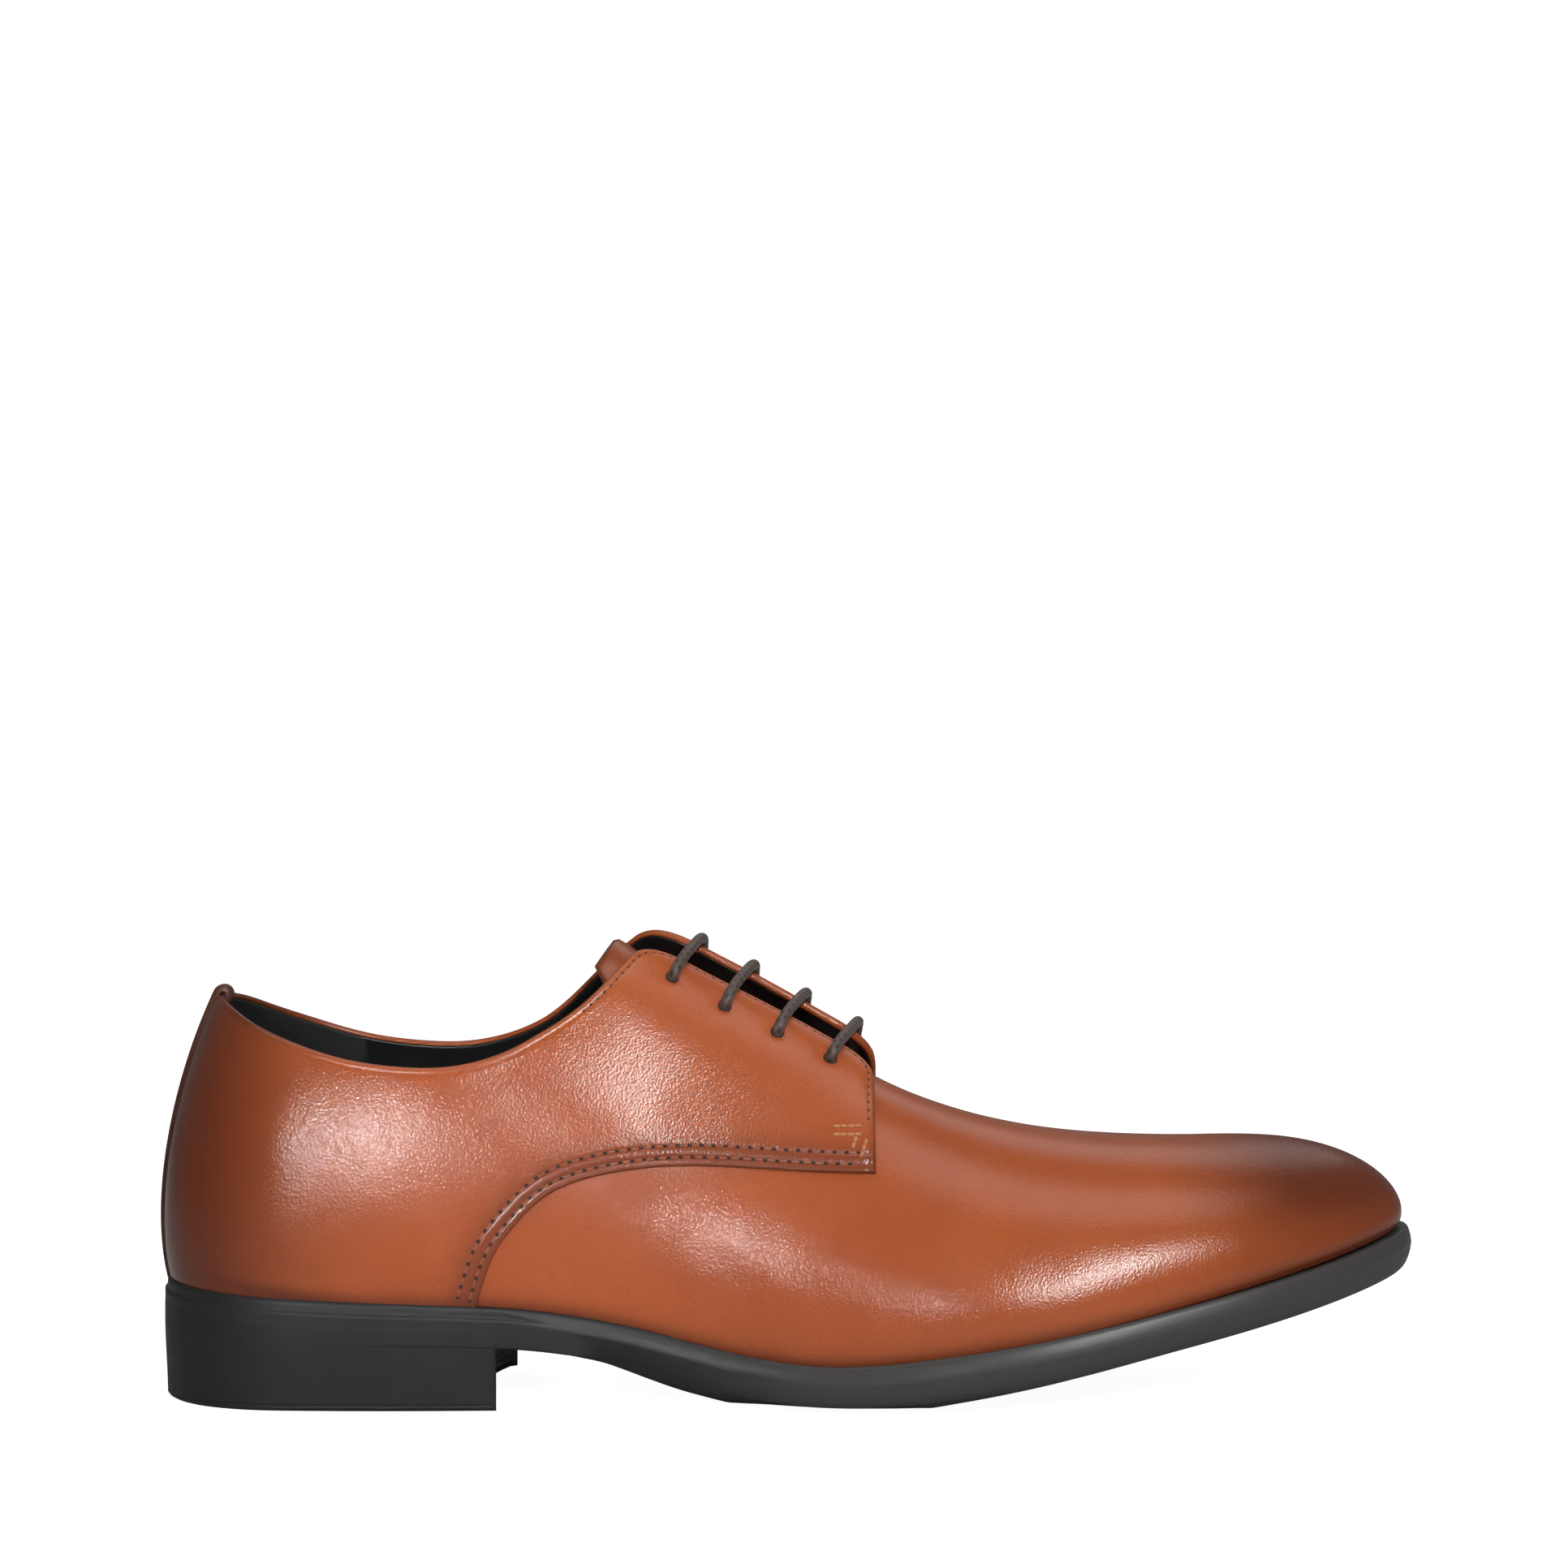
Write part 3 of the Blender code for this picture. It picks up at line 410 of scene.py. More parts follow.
def locate(form, side, x, other, axis):
    """Station and level of the points at x whose y (axis 1) or z (axis 2) is given."""
    x, other = np.broadcast_arrays(np.asarray(x, float), np.asarray(other, float))
    v = np.full(x.shape, 0.6)
    for _ in range(5):
        a = solve_rising(lambda at: form(at, v, side)[..., 0], x, 0.0, 1.0)
        if axis == 2:
            v = solve_rising(lambda at: form(a, at, side)[..., 2], other, -0.06, 1.0)
        else:
            inward = -side * other
            v = solve_rising(lambda at: -side * form(a, at, side)[..., 1], inward, 0.35, 1.0)
    return a, v


def settle(form, side, points, a, v, rounds=7):
    """Station and level of the places on the form nearest to some points, from a first guess."""
    step = 1e-4
    for _ in range(rounds):
        here = form(a, v, side)
        along = (form(a + step, v, side) - here) / step
        across = (form(a, v + step, side) - here) / step
        gap = points - here
        aa, ac, cc = (along * along).sum(-1), (along * across).sum(-1), (across * across).sum(-1)
        ga, gc = (gap * along).sum(-1), (gap * across).sum(-1)
        det = aa * cc - ac * ac
        a = np.clip(a + (cc * ga - ac * gc) / det, 0, 0.999)
        v = np.clip(v + (aa * gc - ac * ga) / det, -0.05, 0.999)
    return a, v


def outward(form, a, v, side):
    """The form's outward direction."""
    step = 1e-3
    ahead, behind = np.minimum(np.asarray(a) + step, 1), np.maximum(np.asarray(a) - step, 0)
    along = form(ahead, v, side) - form(behind, v, side)
    up = form(a, np.minimum(np.asarray(v) + step, 1), side) - form(a, np.asarray(v) - step, side)
    return unit(np.cross(along, up) * -np.asarray(side, float)[..., None])


def unit(vectors):
    return vectors / np.maximum(np.linalg.norm(vectors, axis=-1, keepdims=True), 1e-12)


def round_edge(distance, radius):
    """Share of its full thickness that a rolled edge has at a distance from the rim."""
    return np.sqrt(1 - np.square(1 - np.clip(distance / radius, 0, 1)))


def on_quarter(av, side):
    """Places on a quarter from rows of (a, v)."""
    return quarter_points(av[:, 0], av[:, 1], side)


def out_of_quarter(av, side):
    return outward(quarter_points, av[:, 0], av[:, 1], np.full(len(av), side))


def grid_normals(points, side=LATERAL):
    """Outward directions of a grid whose rows rise and whose columns run forwards."""
    along = np.gradient(points, axis=1)
    up = np.gradient(points, axis=0)
    return unit(np.cross(along, up) * -side)


def lengths(points):
    """Distance along a line of points, from its first point."""
    steps = np.linalg.norm(np.diff(points, axis=0), axis=-1)
    return np.concatenate([[0.0], np.cumsum(steps)])


def along_line(values, lengths_of, at):
    """Rows of values read off at distances along a line."""
    return np.stack([np.interp(at, lengths_of, column) for column in np.asarray(values).T], -1)


def distance_to(points, line):
    """Distance from each point to a line of points."""
    start, step = line[:-1], np.diff(line, axis=0)
    square = np.maximum((step * step).sum(-1), 1e-18)
    flat = points.reshape(-1, 3)
    found = np.empty(len(flat))
    for first in range(0, len(flat), 1500):
        gap = flat[first : first + 1500, None, :] - start
        share = np.clip((gap * step).sum(-1) / square, 0, 1)
        found[first : first + 1500] = np.linalg.norm(gap - share[..., None] * step, axis=-1).min(-1)
    return found.reshape(points.shape[:-1])


# Building meshes

WELD_DISTANCE = 4e-6


def finish_piece(name, points, faces, tints, material, nodes=()):
    """A mesh object on the frame's body, with its tints as vertex attributes."""
    mesh = bpy.data.meshes.new(name)
    mesh.from_pydata(points.tolist(), [], faces)
    for tint, values in tints.items():
        layer = mesh.attributes.new(tint, "FLOAT", "POINT")
        layer.data.foreach_set("value", np.asarray(values, np.float32).ravel())
    bm = bmesh.new()
    bm.from_mesh(mesh)
    bmesh.ops.remove_doubles(bm, verts=bm.verts, dist=WELD_DISTANCE)
    bmesh.ops.recalc_face_normals(bm, faces=bm.faces)
    bm.to_mesh(mesh)
    bm.free()
    mesh.polygons.foreach_set("use_smooth", [True] * len(mesh.polygons))
    mesh.materials.append(material)
    obj = bpy.data.objects.new(name, mesh)
    bpy.context.scene.collection.objects.link(obj)
    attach(obj, BODY)
    if nodes:
        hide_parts(*nodes)
    return obj


def grid_faces(rows, columns, around=False):
    index = np.arange(rows * columns).reshape(rows, columns)
    if around:
        index = np.concatenate([index, index[:, :1]], 1)
    corners = (index[:-1, :-1], index[:-1, 1:], index[1:, 1:], index[1:, :-1])
    return np.stack(corners, -1).reshape(-1, 4)


def wall(name, outer, inner, tints, material, nodes):
    """A closed sheet between an outer and an inner grid of points."""
    rows, columns = outer.shape[:2]
    count = rows * columns
    points = np.concatenate([outer.reshape(-1, 3), inner.reshape(-1, 3)])
    index = np.arange(count).reshape(rows, columns)
    front = grid_faces(rows, columns)
    ring = np.concatenate([index[0], index[1:, -1], index[-1, -2::-1], index[-2:0:-1, 0]])
    ahead = np.roll(ring, -1)
    rim = np.stack([ring, ring + count, ahead + count, ahead], -1)
    faces = np.concatenate([front, front[:, ::-1] + count, rim]).tolist()
    both = {tint: np.concatenate([values.ravel(), values.ravel()]) for tint, values in tints.items()}
    return finish_piece(name, points, faces, both, material, nodes)


def sheet(name, points, normals, outside, inside, tints, looks, node="upper"):
    """A closed sheet between two distances from a grid of points, with its material."""
    outer, inner = (points + normals * np.asarray(far)[..., None] for far in (outside, inside))
    material, slot = looks
    return wall(name, outer, inner, tints, material, [node])


def rings(name, rows, material, nodes, tints=None):
    """A skin closed round rows of points that each run once round; no faces are added at its ends."""
    count, around = rows.shape[:2]
    points = rows.reshape(-1, 3)
    faces = grid_faces(count, around, around=True).tolist()
    return finish_piece(name, points, faces, tints or {}, material, nodes)


# Outline of a small rounded body: place along it and girth there, as shares of its halves
CAPSULE = ((-1, 0.0), (-0.88, 0.55), (-0.6, 0.92), (0, 1), (0.6, 0.92), (0.88, 0.55), (1, 0.0))


def capsules(name, centres, along, normals, sizes, material, sides=8):
    """Many small rounded bodies: centre, long direction, outward direction and three sizes."""
    turns = np.arange(sides) * 2 * math.pi / sides
    template = []
    for share, girth in CAPSULE:
        for turn in turns:
            template.append((share, girth * math.cos(turn), girth * math.sin(turn)))
    template = np.array(template) * 0.5
    along = unit(along - (along * normals).sum(-1, keepdims=True) * normals)
    beside = np.cross(normals, along)
    sizes = np.broadcast_to(np.asarray(sizes, float), (len(centres), 3))
    shares = template[None] * sizes[:, None, :]
    points = (
        centres[:, None]
        + shares[..., :1] * along[:, None]
        + shares[..., 1:2] * beside[:, None]
        + shares[..., 2:] * normals[:, None]
    )
    one = grid_faces(len(CAPSULE), sides, around=True)
    faces = (one[None] + np.arange(len(centres))[:, None, None] * len(template)).reshape(-1, 4)
    return finish_piece(name, points.reshape(-1, 3), faces.tolist(), {}, material)


# Materials


def node(tree, kind, inputs=None, **settings):
    """One shader node, its inputs given as values or as another node's output."""
    made = tree.nodes.new(kind)
    for key, value in settings.items():
        setattr(made, key, value)
    for key, value in (inputs or {}).items():
        if isinstance(value, bpy.types.NodeSocket):
            tree.links.new(value, made.inputs[key])
        else:
            made.inputs[key].default_value = value
    return made


def new_material(name, **uniform):
    """A material with its Principled shader's uniform inputs set."""
    material = bpy.data.materials.new(name)
    material.use_nodes = True
    shader = material.node_tree.nodes["Principled BSDF"]
    for key, value in uniform.items():
        shader.inputs[key.replace("_", " ").title()].default_value = value
    return material, material.node_tree, shader


def ramp(tree, value, *stops):
    """A colour ramp over (place, colour or grey) stops."""
    made = node(tree, "ShaderNodeValToRGB", {"Fac": value})
    elements = made.color_ramp.elements
    while len(elements) < len(stops):
        elements.new(0.5)
    for element, (place, shade) in zip(elements, stops):
        element.position = place
        colour = shade if isinstance(shade, tuple) else (shade,) * 3
        element.color = (*colour, 1)
    return made.outputs["Color"]


def mix(tree, share, first, second, kind="MIX"):
    made = node(tree, "ShaderNodeMix", data_type="RGBA", blend_type=kind)
    sockets = {"Factor": share, "A": first, "B": second}
    places = {"Factor": 0, "A": 6, "B": 7}
    for key, value in sockets.items():
        socket = made.inputs[places[key]]
        if isinstance(value, bpy.types.NodeSocket):
            tree.links.new(value, socket)
        else:
            socket.default_value = (*value, 1) if isinstance(value, tuple) else value
    return made.outputs[2]


def noise(tree, where, scale, detail=3.0, roughness=0.5):
    inputs = {"Vector": where, "Scale": scale, "Detail": detail, "Roughness": roughness}
    return node(tree, "ShaderNodeTexNoise", inputs).outputs["Fac"]


def sums(tree, *terms):
    """The sum of (socket, weight) terms."""
    total = None
    for socket, weight in terms:
        scaled = node(tree, "ShaderNodeMath", operation="MULTIPLY")
        tree.links.new(socket, scaled.inputs[0])
        scaled.inputs[1].default_value = weight
        if total is None:
            total = scaled.outputs[0]
            continue
        added = node(tree, "ShaderNodeMath", operation="ADD")
        tree.links.new(total, added.inputs[0])
        tree.links.new(scaled.outputs[0], added.inputs[1])
        total = added.outputs[0]
    return total


def object_place(tree):
    return node(tree, "ShaderNodeTexCoord").outputs["Object"]


def raise_surface(tree, shader, height, strength, distance):
    """Bumps a shader's surface by a height, at a strength and over a distance."""
    inputs = {"Height": height, "Strength": strength, "Distance": distance}
    tree.links.new(node(tree, "ShaderNodeBump", inputs).outputs["Normal"], shader.inputs["Normal"])


def attribute(tree, name):
    return node(tree, "ShaderNodeAttribute", attribute_name=name).outputs["Fac"]


def leather(name, light, middle, dark, red, roughness, grain):
    """Smooth calf leather: mottled dye, zones of burnishing and of painted shade, fine creased grain
    and tiny pores.
    """
    material, tree, shader = new_material(name)
    shader.inputs["Specular IOR Level"].default_value = 0.42
    where = object_place(tree)
    clouds = noise(tree, where, 38, 4, 0.55)
    patches = noise(tree, where, 160, 3, 0.5)
    flecks = noise(tree, where, 1500, 2, 0.6)
    base = ramp(tree, clouds, (0.30, middle), (0.70, light))
    base = mix(tree, ramp(tree, patches, (0.35, 0.0), (0.75, 0.30)), base, middle)
    base = mix(tree, attribute(tree, "red"), base, red)
    # Darker where the dye has its burnishing, and as painted shade along the sole, at the lap's edge,
    # in the throat and on the tongue's top.
    base = mix(tree, attribute(tree, "burnish_and_shade"), base, dark)
    base = mix(tree, ramp(tree, flecks, (0.30, 0.16), (0.45, 0.0)), base, dark)
    tree.links.new(base, shader.inputs["Base Color"])
    cells = node(tree, "ShaderNodeTexVoronoi", {"Vector": where, "Scale": 1500.0})
    fine = noise(tree, where, 1900, 2, 0.5)
    creases = noise(tree, where, 420, 3, 0.5)
    height = sums(tree, (cells.outputs["Distance"], 0.30), (fine, 0.55), (creases, 0.22))
    raise_surface(tree, shader, height, grain, 0.20 * MM)
    gloss = ramp(tree, patches, (0.2, roughness - 0.03), (0.8, roughness + 0.05))
    tree.links.new(gloss, shader.inputs["Roughness"])
    return material


def lining_leather(name):
    """Black lining, matt at the heel grip and smoother towards the front."""
    material, tree, shader = new_material(name)
    where = object_place(tree)
    patches = noise(tree, where, 90, 3)
    base = ramp(tree, patches, (0.3, (0.0040, 0.0040, 0.0044)), (0.75, (0.0090, 0.0088, 0.0092)))
    tree.links.new(base, shader.inputs["Base Color"])
    grip = attribute(tree, "grip")
    tree.links.new(ramp(tree, grip, (0.0, 0.34), (1.0, 0.80)), shader.inputs["Roughness"])
    fine = noise(tree, where, 1700, 3)
    raise_surface(tree, shader, fine, 0.35, 0.10 * MM)
    return material


def rubber(name, base_grey, roughness, ribs=0.0):
    """Moulded black sole material, with a faint mottle, painted reflected light towards the front and,
    underneath, cross ribs.
    """
    material, tree, shader = new_material(name)
    shader.inputs["Specular IOR Level"].default_value = 0.35
    where = object_place(tree)
    clouds = noise(tree, where, 55, 4)
    low, high = base_grey * 0.80, base_grey * 1.25
    tint = (1.0, 0.985, 0.99)
    stops = [(0.3, tuple(low * t for t in tint)), (0.75, tuple(high * t for t in tint))]
    # Lighter grey towards the sole's front: painted reflected light.
    base = mix(tree, attribute(tree, "front_painted_shine"), ramp(tree, clouds, *stops), (0.052, 0.049, 0.048))
    tree.links.new(base, shader.inputs["Base Color"])
    wet = attribute(tree, "gloss")
    smear = noise(tree, where, 240, 3)
    matt = ramp(tree, smear, (0.25, roughness - 0.04), (0.8, roughness + 0.08))
    tree.links.new(mix(tree, wet, matt, (0.30, 0.30, 0.30)), shader.inputs["Roughness"])
    fine = noise(tree, where, 2200, 2)
    height = sums(tree, (fine, 0.35), (clouds, 0.2))
    if ribs:
        wave = node(tree, "ShaderNodeTexWave", {"Vector": where, "Scale": ribs, "Distortion": 0.0})
        masked = node(tree, "ShaderNodeMath", operation="MULTIPLY")
        tree.links.new(wave.outputs["Fac"], masked.inputs[0])
        tree.links.new(attribute(tree, "under"), masked.inputs[1])
        height = sums(tree, (height, 1.0), (masked.outputs[0], 3.5))
    raise_surface(tree, shader, height, 0.45, 0.12 * MM)
    return material


def thread(name, light, dark, roughness=0.55, sheen=0.2):
    """Twisted or braided yarn."""
    material, tree, shader = new_material(name, roughness=roughness, sheen_weight=sheen)
    where = object_place(tree)
    fibres = noise(tree, where, 2600, 3, 0.7)
    tree.links.new(ramp(tree, fibres, (0.30, dark), (0.70, light)), shader.inputs["Base Color"])
    raise_surface(tree, shader, fibres, 0.5, 0.08 * MM)
    return material


def braided(name):
    """Waxed round lace: dark yarn, darker still in the grooves between the braid's raised strands, as
    painted shade.
    """
    material, tree, shader = new_material(name, roughness=0.48, sheen_weight=0.05)
    where = object_place(tree)
    fibres = noise(tree, where, 3200, 3, 0.7)
    strand = attribute(tree, "strand")
    # Near black at the braid's grooves and the lace's colour on its crests: painted shade.
    base = ramp(tree, strand, (0.15, (0.020, 0.013, 0.011)), (0.9, (0.108, 0.074, 0.062)))
    base = mix(tree, ramp(tree, fibres, (0.4, 0.35), (0.6, 0.0)), base, (0.022, 0.016, 0.015))
    tree.links.new(base, shader.inputs["Base Color"])
    raise_surface(tree, shader, fibres, 0.5, 0.07 * MM)
    return material


TAN = (0.365, 0.078, 0.021)
TAN_LIGHT = (0.415, 0.094, 0.026)
# Dark tone of the dye's burnishing, used for painted shade as well.
BURNISH_AND_SHADE_TONE = (0.092, 0.019, 0.0065)
RED = (0.120, 0.025, 0.013)
DARK_TAN = (0.060, 0.017, 0.008)
DARK_TAN_LIGHT = (0.085, 0.024, 0.011)

BODY = next(iter(frame["bodies"]))
tan = leather("tan_leather", TAN_LIGHT, TAN, BURNISH_AND_SHADE_TONE, RED, 0.19, 0.48)
dark_tan = leather("burnished_leather", DARK_TAN_LIGHT, DARK_TAN, BURNISH_AND_SHADE_TONE, RED, 0.42, 0.40)
lining = lining_leather("black_lining")
sole_rubber = rubber("black_rubber", 0.013, 0.50, ribs=42.0)
heel_rubber = rubber("heel_rubber", 0.011, 0.54)
tan_thread = thread("tan_thread", (0.36, 0.105, 0.040), (0.22, 0.058, 0.022))
gold_thread = thread("gold_thread", (0.56, 0.24, 0.075), (0.36, 0.13, 0.040))
# Near-black marks that stand for the shade inside needle and lace openings: painted shade.
hole_shade = thread("stitch_hole_shade", (0.040, 0.012, 0.006), (0.016, 0.005, 0.003), 0.8, 0.0)
lace_yarn = braided("lace_cotton")
TAN_LOOKS = (tan, "tan_leather")
LINING_LOOKS = (lining, "black_lining")


# Quarters: each side's panel, edged by the collar, the throat, the facing's front and the lap

LOW_ROWS = (0, 0.05, 0.15, 0.35, 0.7, 1.1, 1.45, 1.75, 2.0, 2.25, 2.6, 3.1, 3.7, 4.2, 4.55, 4.8)
LOW_ROWS += (5.05, 5.4, 6.0, 6.9)
RIM_ROWS = (0, 0.06, 0.2, 0.45, 0.9, 1.15, 1.45, 1.7, 2.0, 2.4, 3.0)
MIDDLE_ROWS = 34
RIM_RADIUS = 1.15 * MM
FOLD_WIDTH = 0.9 * MM
# Rows of stitches along the lap, measured from its edge, and how wide a seam pulls the leather in
LAP_ROWS = (2.0 * MM, 4.8 * MM)
SEAM_PULL = 0.35 * MM
# Where the zones of columns change, along the top and the lap
TOP_ZONES = (-0.100, -0.056)
LAP_ZONES = (-0.048, -0.036, -0.026)
# Seam between the matt lining at the heel and the smooth one, and where its raised band starts
LINING_SEAM = -0.107
LINING_BAND = -0.035


def collar_part(side):
    """(a, v) along the collar from the back seam to where it meets the throat's edge."""
    a = HEEL_ROUND_SHARE * np.linspace(0, 1, 60) ** 2.2
    a = np.concatenate([a, np.linspace(HEEL_ROUND_SHARE, 0.5, 340)[1:]])
    v = solve_rising(lambda at: over_collar(quarter_points(a, at, side)), np.zeros(len(a)), 0.3, 1.0)
    points = quarter_points(a, v, side)
    beside = side * (points[:, 1] - throat_line(points[:, 0]))
    past = np.nonzero((beside < THROAT_GAP / 2) & (a > HEEL_ROUND_SHARE))[0]
    last = past[0] if len(past) else len(a)
    return np.stack([a[:last], v[:last]], -1)


def facing_part(side, start_x):
    """(a, v) along the throat's edge and round the facing's front corner."""
    start = FACING_FRONT - FACING_CORNER
    x = np.linspace(start_x, start, 70)
    y = throat_line(x) + side * THROAT_GAP / 2
    turn = np.linspace(0, math.pi / 2, 40)[1:]
    ahead = 1.0 if side == LATERAL else 1 + MEDIAL_CORNER_LEAD / FACING_CORNER
    x = np.concatenate([x, start + FACING_CORNER * ahead * np.sin(turn)])
    corner = throat_line(start) + side * (THROAT_GAP / 2 + FACING_CORNER * (1 - np.cos(turn)))
    y = np.concatenate([y, corner])
    return np.stack(locate(quarter_points, side, x, y, 1), -1)


def rounded_corner(first, second, side, radius):
    """Two (a, v) lines joined by a soft corner."""
    one, two = on_quarter(first, side), on_quarter(second, side)
    back = lengths(one[::-1])[::-1]
    ahead = lengths(two)
    first, second = first[back > radius], second[ahead > radius]
    corner = (first[-1] + second[0]) / 2
    tip = one[-1]
    corner = np.array(settle(quarter_points, side, tip[None], *(np.array([c]) for c in corner))).ravel()
    t = np.linspace(0, 1, 14)[1:-1, None]
    arc = (1 - t) ** 2 * first[-1] + 2 * t * (1 - t) * corner + t * t * second[0]
    return np.concatenate([first, arc, second])


CORNER_ROUND = {LATERAL: 0.011, MEDIAL: 0.009}


def quarter_lines(side):
    """(a, v) lines along the top of a quarter and along its bottom, and where the lap begins."""
    collar = collar_part(side)
    meeting = quarter_points(collar[-1, 0], collar[-1, 1], side)[0]
    top = rounded_corner(collar, facing_part(side, meeting + 0.0002), side, CORNER_ROUND[side])
    front = FACING_FRONT if side == LATERAL else FACING_FRONT + MEDIAL_FRONT_LEAD
    x = np.linspace(QUARTER_EDGE[0][0] * SOLE_LENGTH, front, 260)
    z = INSTEP_HEIGHT * quarter_edge_share(x / SOLE_LENGTH)
    a, v = locate(quarter_points, side, x, z, 2)
    lap = np.stack([a, v], -1)[v > FOOT]
    feather = HEEL_ROUND_SHARE * np.linspace(0, 1, 50) ** 2.2
    feather = np.concatenate([feather, np.linspace(HEEL_ROUND_SHARE, lap[0, 0], 90)[1:]])
    foot = np.stack([feather, np.full(len(feather), FOOT)], -1)
    return top, foot, lap


def column_ends(side, top, foot, lap):
    """(a, v) of each column's two ends, in three zones from the back seam to the front edge."""
    top_points, lap_points = on_quarter(top, side), on_quarter(lap, side)
    top_length, lap_length = lengths(top_points), lengths(lap_points)
    foot_length = lengths(on_quarter(foot, side))

    first = np.linspace(0, 1, 44)[:-1]
    second = np.linspace(0, 1, 48)[:-1]
    back, middle = np.interp(TOP_ZONES, top_points[:, 0], top_length)
    start, narrow, wide = LAP_ZONES
    top_ends = [
        along_line(top, top_length, first * back),
        along_line(top, top_length, back + second * (middle - back)),
    ]
    low_ends = [
        along_line(foot, foot_length, first * foot_length[-1]),
        along_line(lap, lap_length, second * np.interp(start, lap_points[:, 0], lap_length)),
    ]
    front = FACING_FRONT
    steps = [np.linspace(start, narrow, 9), np.linspace(narrow, wide, 15)[1:]]
    steps += [np.linspace(wide, front - 0.003, 40)[1:], front - MM * np.array(RIM_ROWS[::-1])[1:]]
    x = np.concatenate(steps)
    ahead = lap_points[-1, 0] - front
    share = (x - x[0]) / (x[-1] - x[0])
    low_x = x + ahead * smooth_step(share)
    top_end = top_points[-1, 0] - front
    top_x = x - 0.008 * (1 - share) + top_end * smooth_step(share)
    low_ends.append(along_line(lap, lap_points[:, 0], low_x))
    top_ends.append(along_line(top, top_points[:, 0], top_x))
    return np.concatenate(top_ends), np.concatenate(low_ends)


def quarter_grid(side):
    """(a, v) grid of a quarter, rows rising, with each point's distances from its edges."""
    top, foot, lap = quarter_lines(side)
    top_ends, low_ends = column_ends(side, top, foot, lap)
    top_line, lap_line = on_quarter(top, side), on_quarter(lap, side)
    low_line = on_quarter(np.concatenate([foot, lap[1:]]), side)
    t = np.linspace(0, 1, 150)[:, None, None]
    fine = (1 - t) * low_ends + t * top_ends
    points = quarter_points(fine[..., 0], fine[..., 1], side)
    from_low = distance_to(points, low_line)
    from_top = distance_to(points, top_line)
    shares = np.empty((len(LOW_ROWS) + MIDDLE_ROWS + len(RIM_ROWS), len(low_ends)))
    t = t.ravel()
    for column in range(len(low_ends)):
        rising = np.maximum.accumulate(from_low[:, column])
        falling = np.maximum.accumulate(from_top[::-1, column])
        low_t = np.interp(MM * np.array(LOW_ROWS), rising, t)
        top_t = 1 - np.interp(MM * np.array(RIM_ROWS), falling, t)
        low_t[0], top_t[0] = 0.0, 1.0
        between = np.linspace(low_t[-1], top_t[-1], MIDDLE_ROWS + 2)[1:-1]
        shares[:, column] = np.concatenate([low_t, between, top_t[::-1]])
    grid = (1 - shares[..., None]) * low_ends + shares[..., None] * top_ends
    points = quarter_points(grid[..., 0], grid[..., 1], side)
    front_line = points[:, -1]
    rim_line = np.concatenate([top_line, front_line[::-1]])
    return {
        "side": side,
        "av": grid,
        "points": points,
        "normals": grid_normals(points, side),
        "rim": distance_to(points, rim_line),
        "lap": distance_to(points, lap_line),
        "front": distance_to(points, front_line),
        "top_line": top,
        "lap_line": lap,
    }


def eyelet_spots(side):
    """Places and outward directions of one side's eyelet openings on the facing."""
    lead = 0.0 if side == LATERAL else MEDIAL_EYELET_LEAD
    x = FACING_FRONT - EYELET_FRONT_INSET - np.arange(EYELET_COUNT) * EYELET_SPACING + lead
    y = throat_line(x) + side * (THROAT_GAP / 2 + EYELET_SETBACK)
    a, v = locate(quarter_points, side, x, y, 1)
    return quarter_points(a, v, side), outward(quarter_points, a, v, np.full(len(x), side))


def burnish_and_welt_shade(points):
    """How dark the dye is from burnishing at the toe and heel, with painted shade along the sole, from
    the place on the shoe alone.
    """
    x, z = points[..., 0], points[..., 2]
    toe = smooth_step((x - 0.085) / 0.045)
    toe = toe * (0.50 + 0.46 * smooth_step((z - 0.037) / 0.017))
    heel = 0.96 * smooth_step((-0.094 - x) / 0.053)
    above = z - feather_height(station_at(x))
    # Painted shade in a band just above the sole, where the upper meets it.
    welt = 0.60 * hump(above / 0.0026)
    return np.clip(np.maximum(toe, heel) + welt, 0, 1)


# Soft creases of the leather seen from the side: (x, z) of both ends, width and depth
CREASES = (
    (-0.020, 0.040, 0.002, 0.020, 0.0040, 0.00007),
    (-0.004, 0.044, 0.012, 0.022, 0.0034, 0.00006),
    (-0.036, 0.036, -0.018, 0.022, 0.0045, 0.00007),
    (0.030, 0.062, 0.046, 0.040, 0.0060, 0.00010),
    (0.044, 0.058, 0.060, 0.036, 0.0065, 0.00010),
    (-0.075, 0.088, -0.050, 0.066, 0.0070, 0.00022),
    (-0.052, 0.094, -0.032, 0.074, 0.0070, 0.00016),
)


def crease_depth(points):
    """Depth of the creases at each point."""
    flat = points * np.array((1, 0, 1))
    depth = np.zeros(points.shape[:-1])
    for x0, z0, x1, z1, width, deep in CREASES:
        line = np.linspace((x0, 0, z0), (x1, 0, z1), 8)
        near = distance_to(flat, line)
        depth += deep * (hump(near / width) - 0.5 * hump((near - 2.0 * width) / width))
    return depth


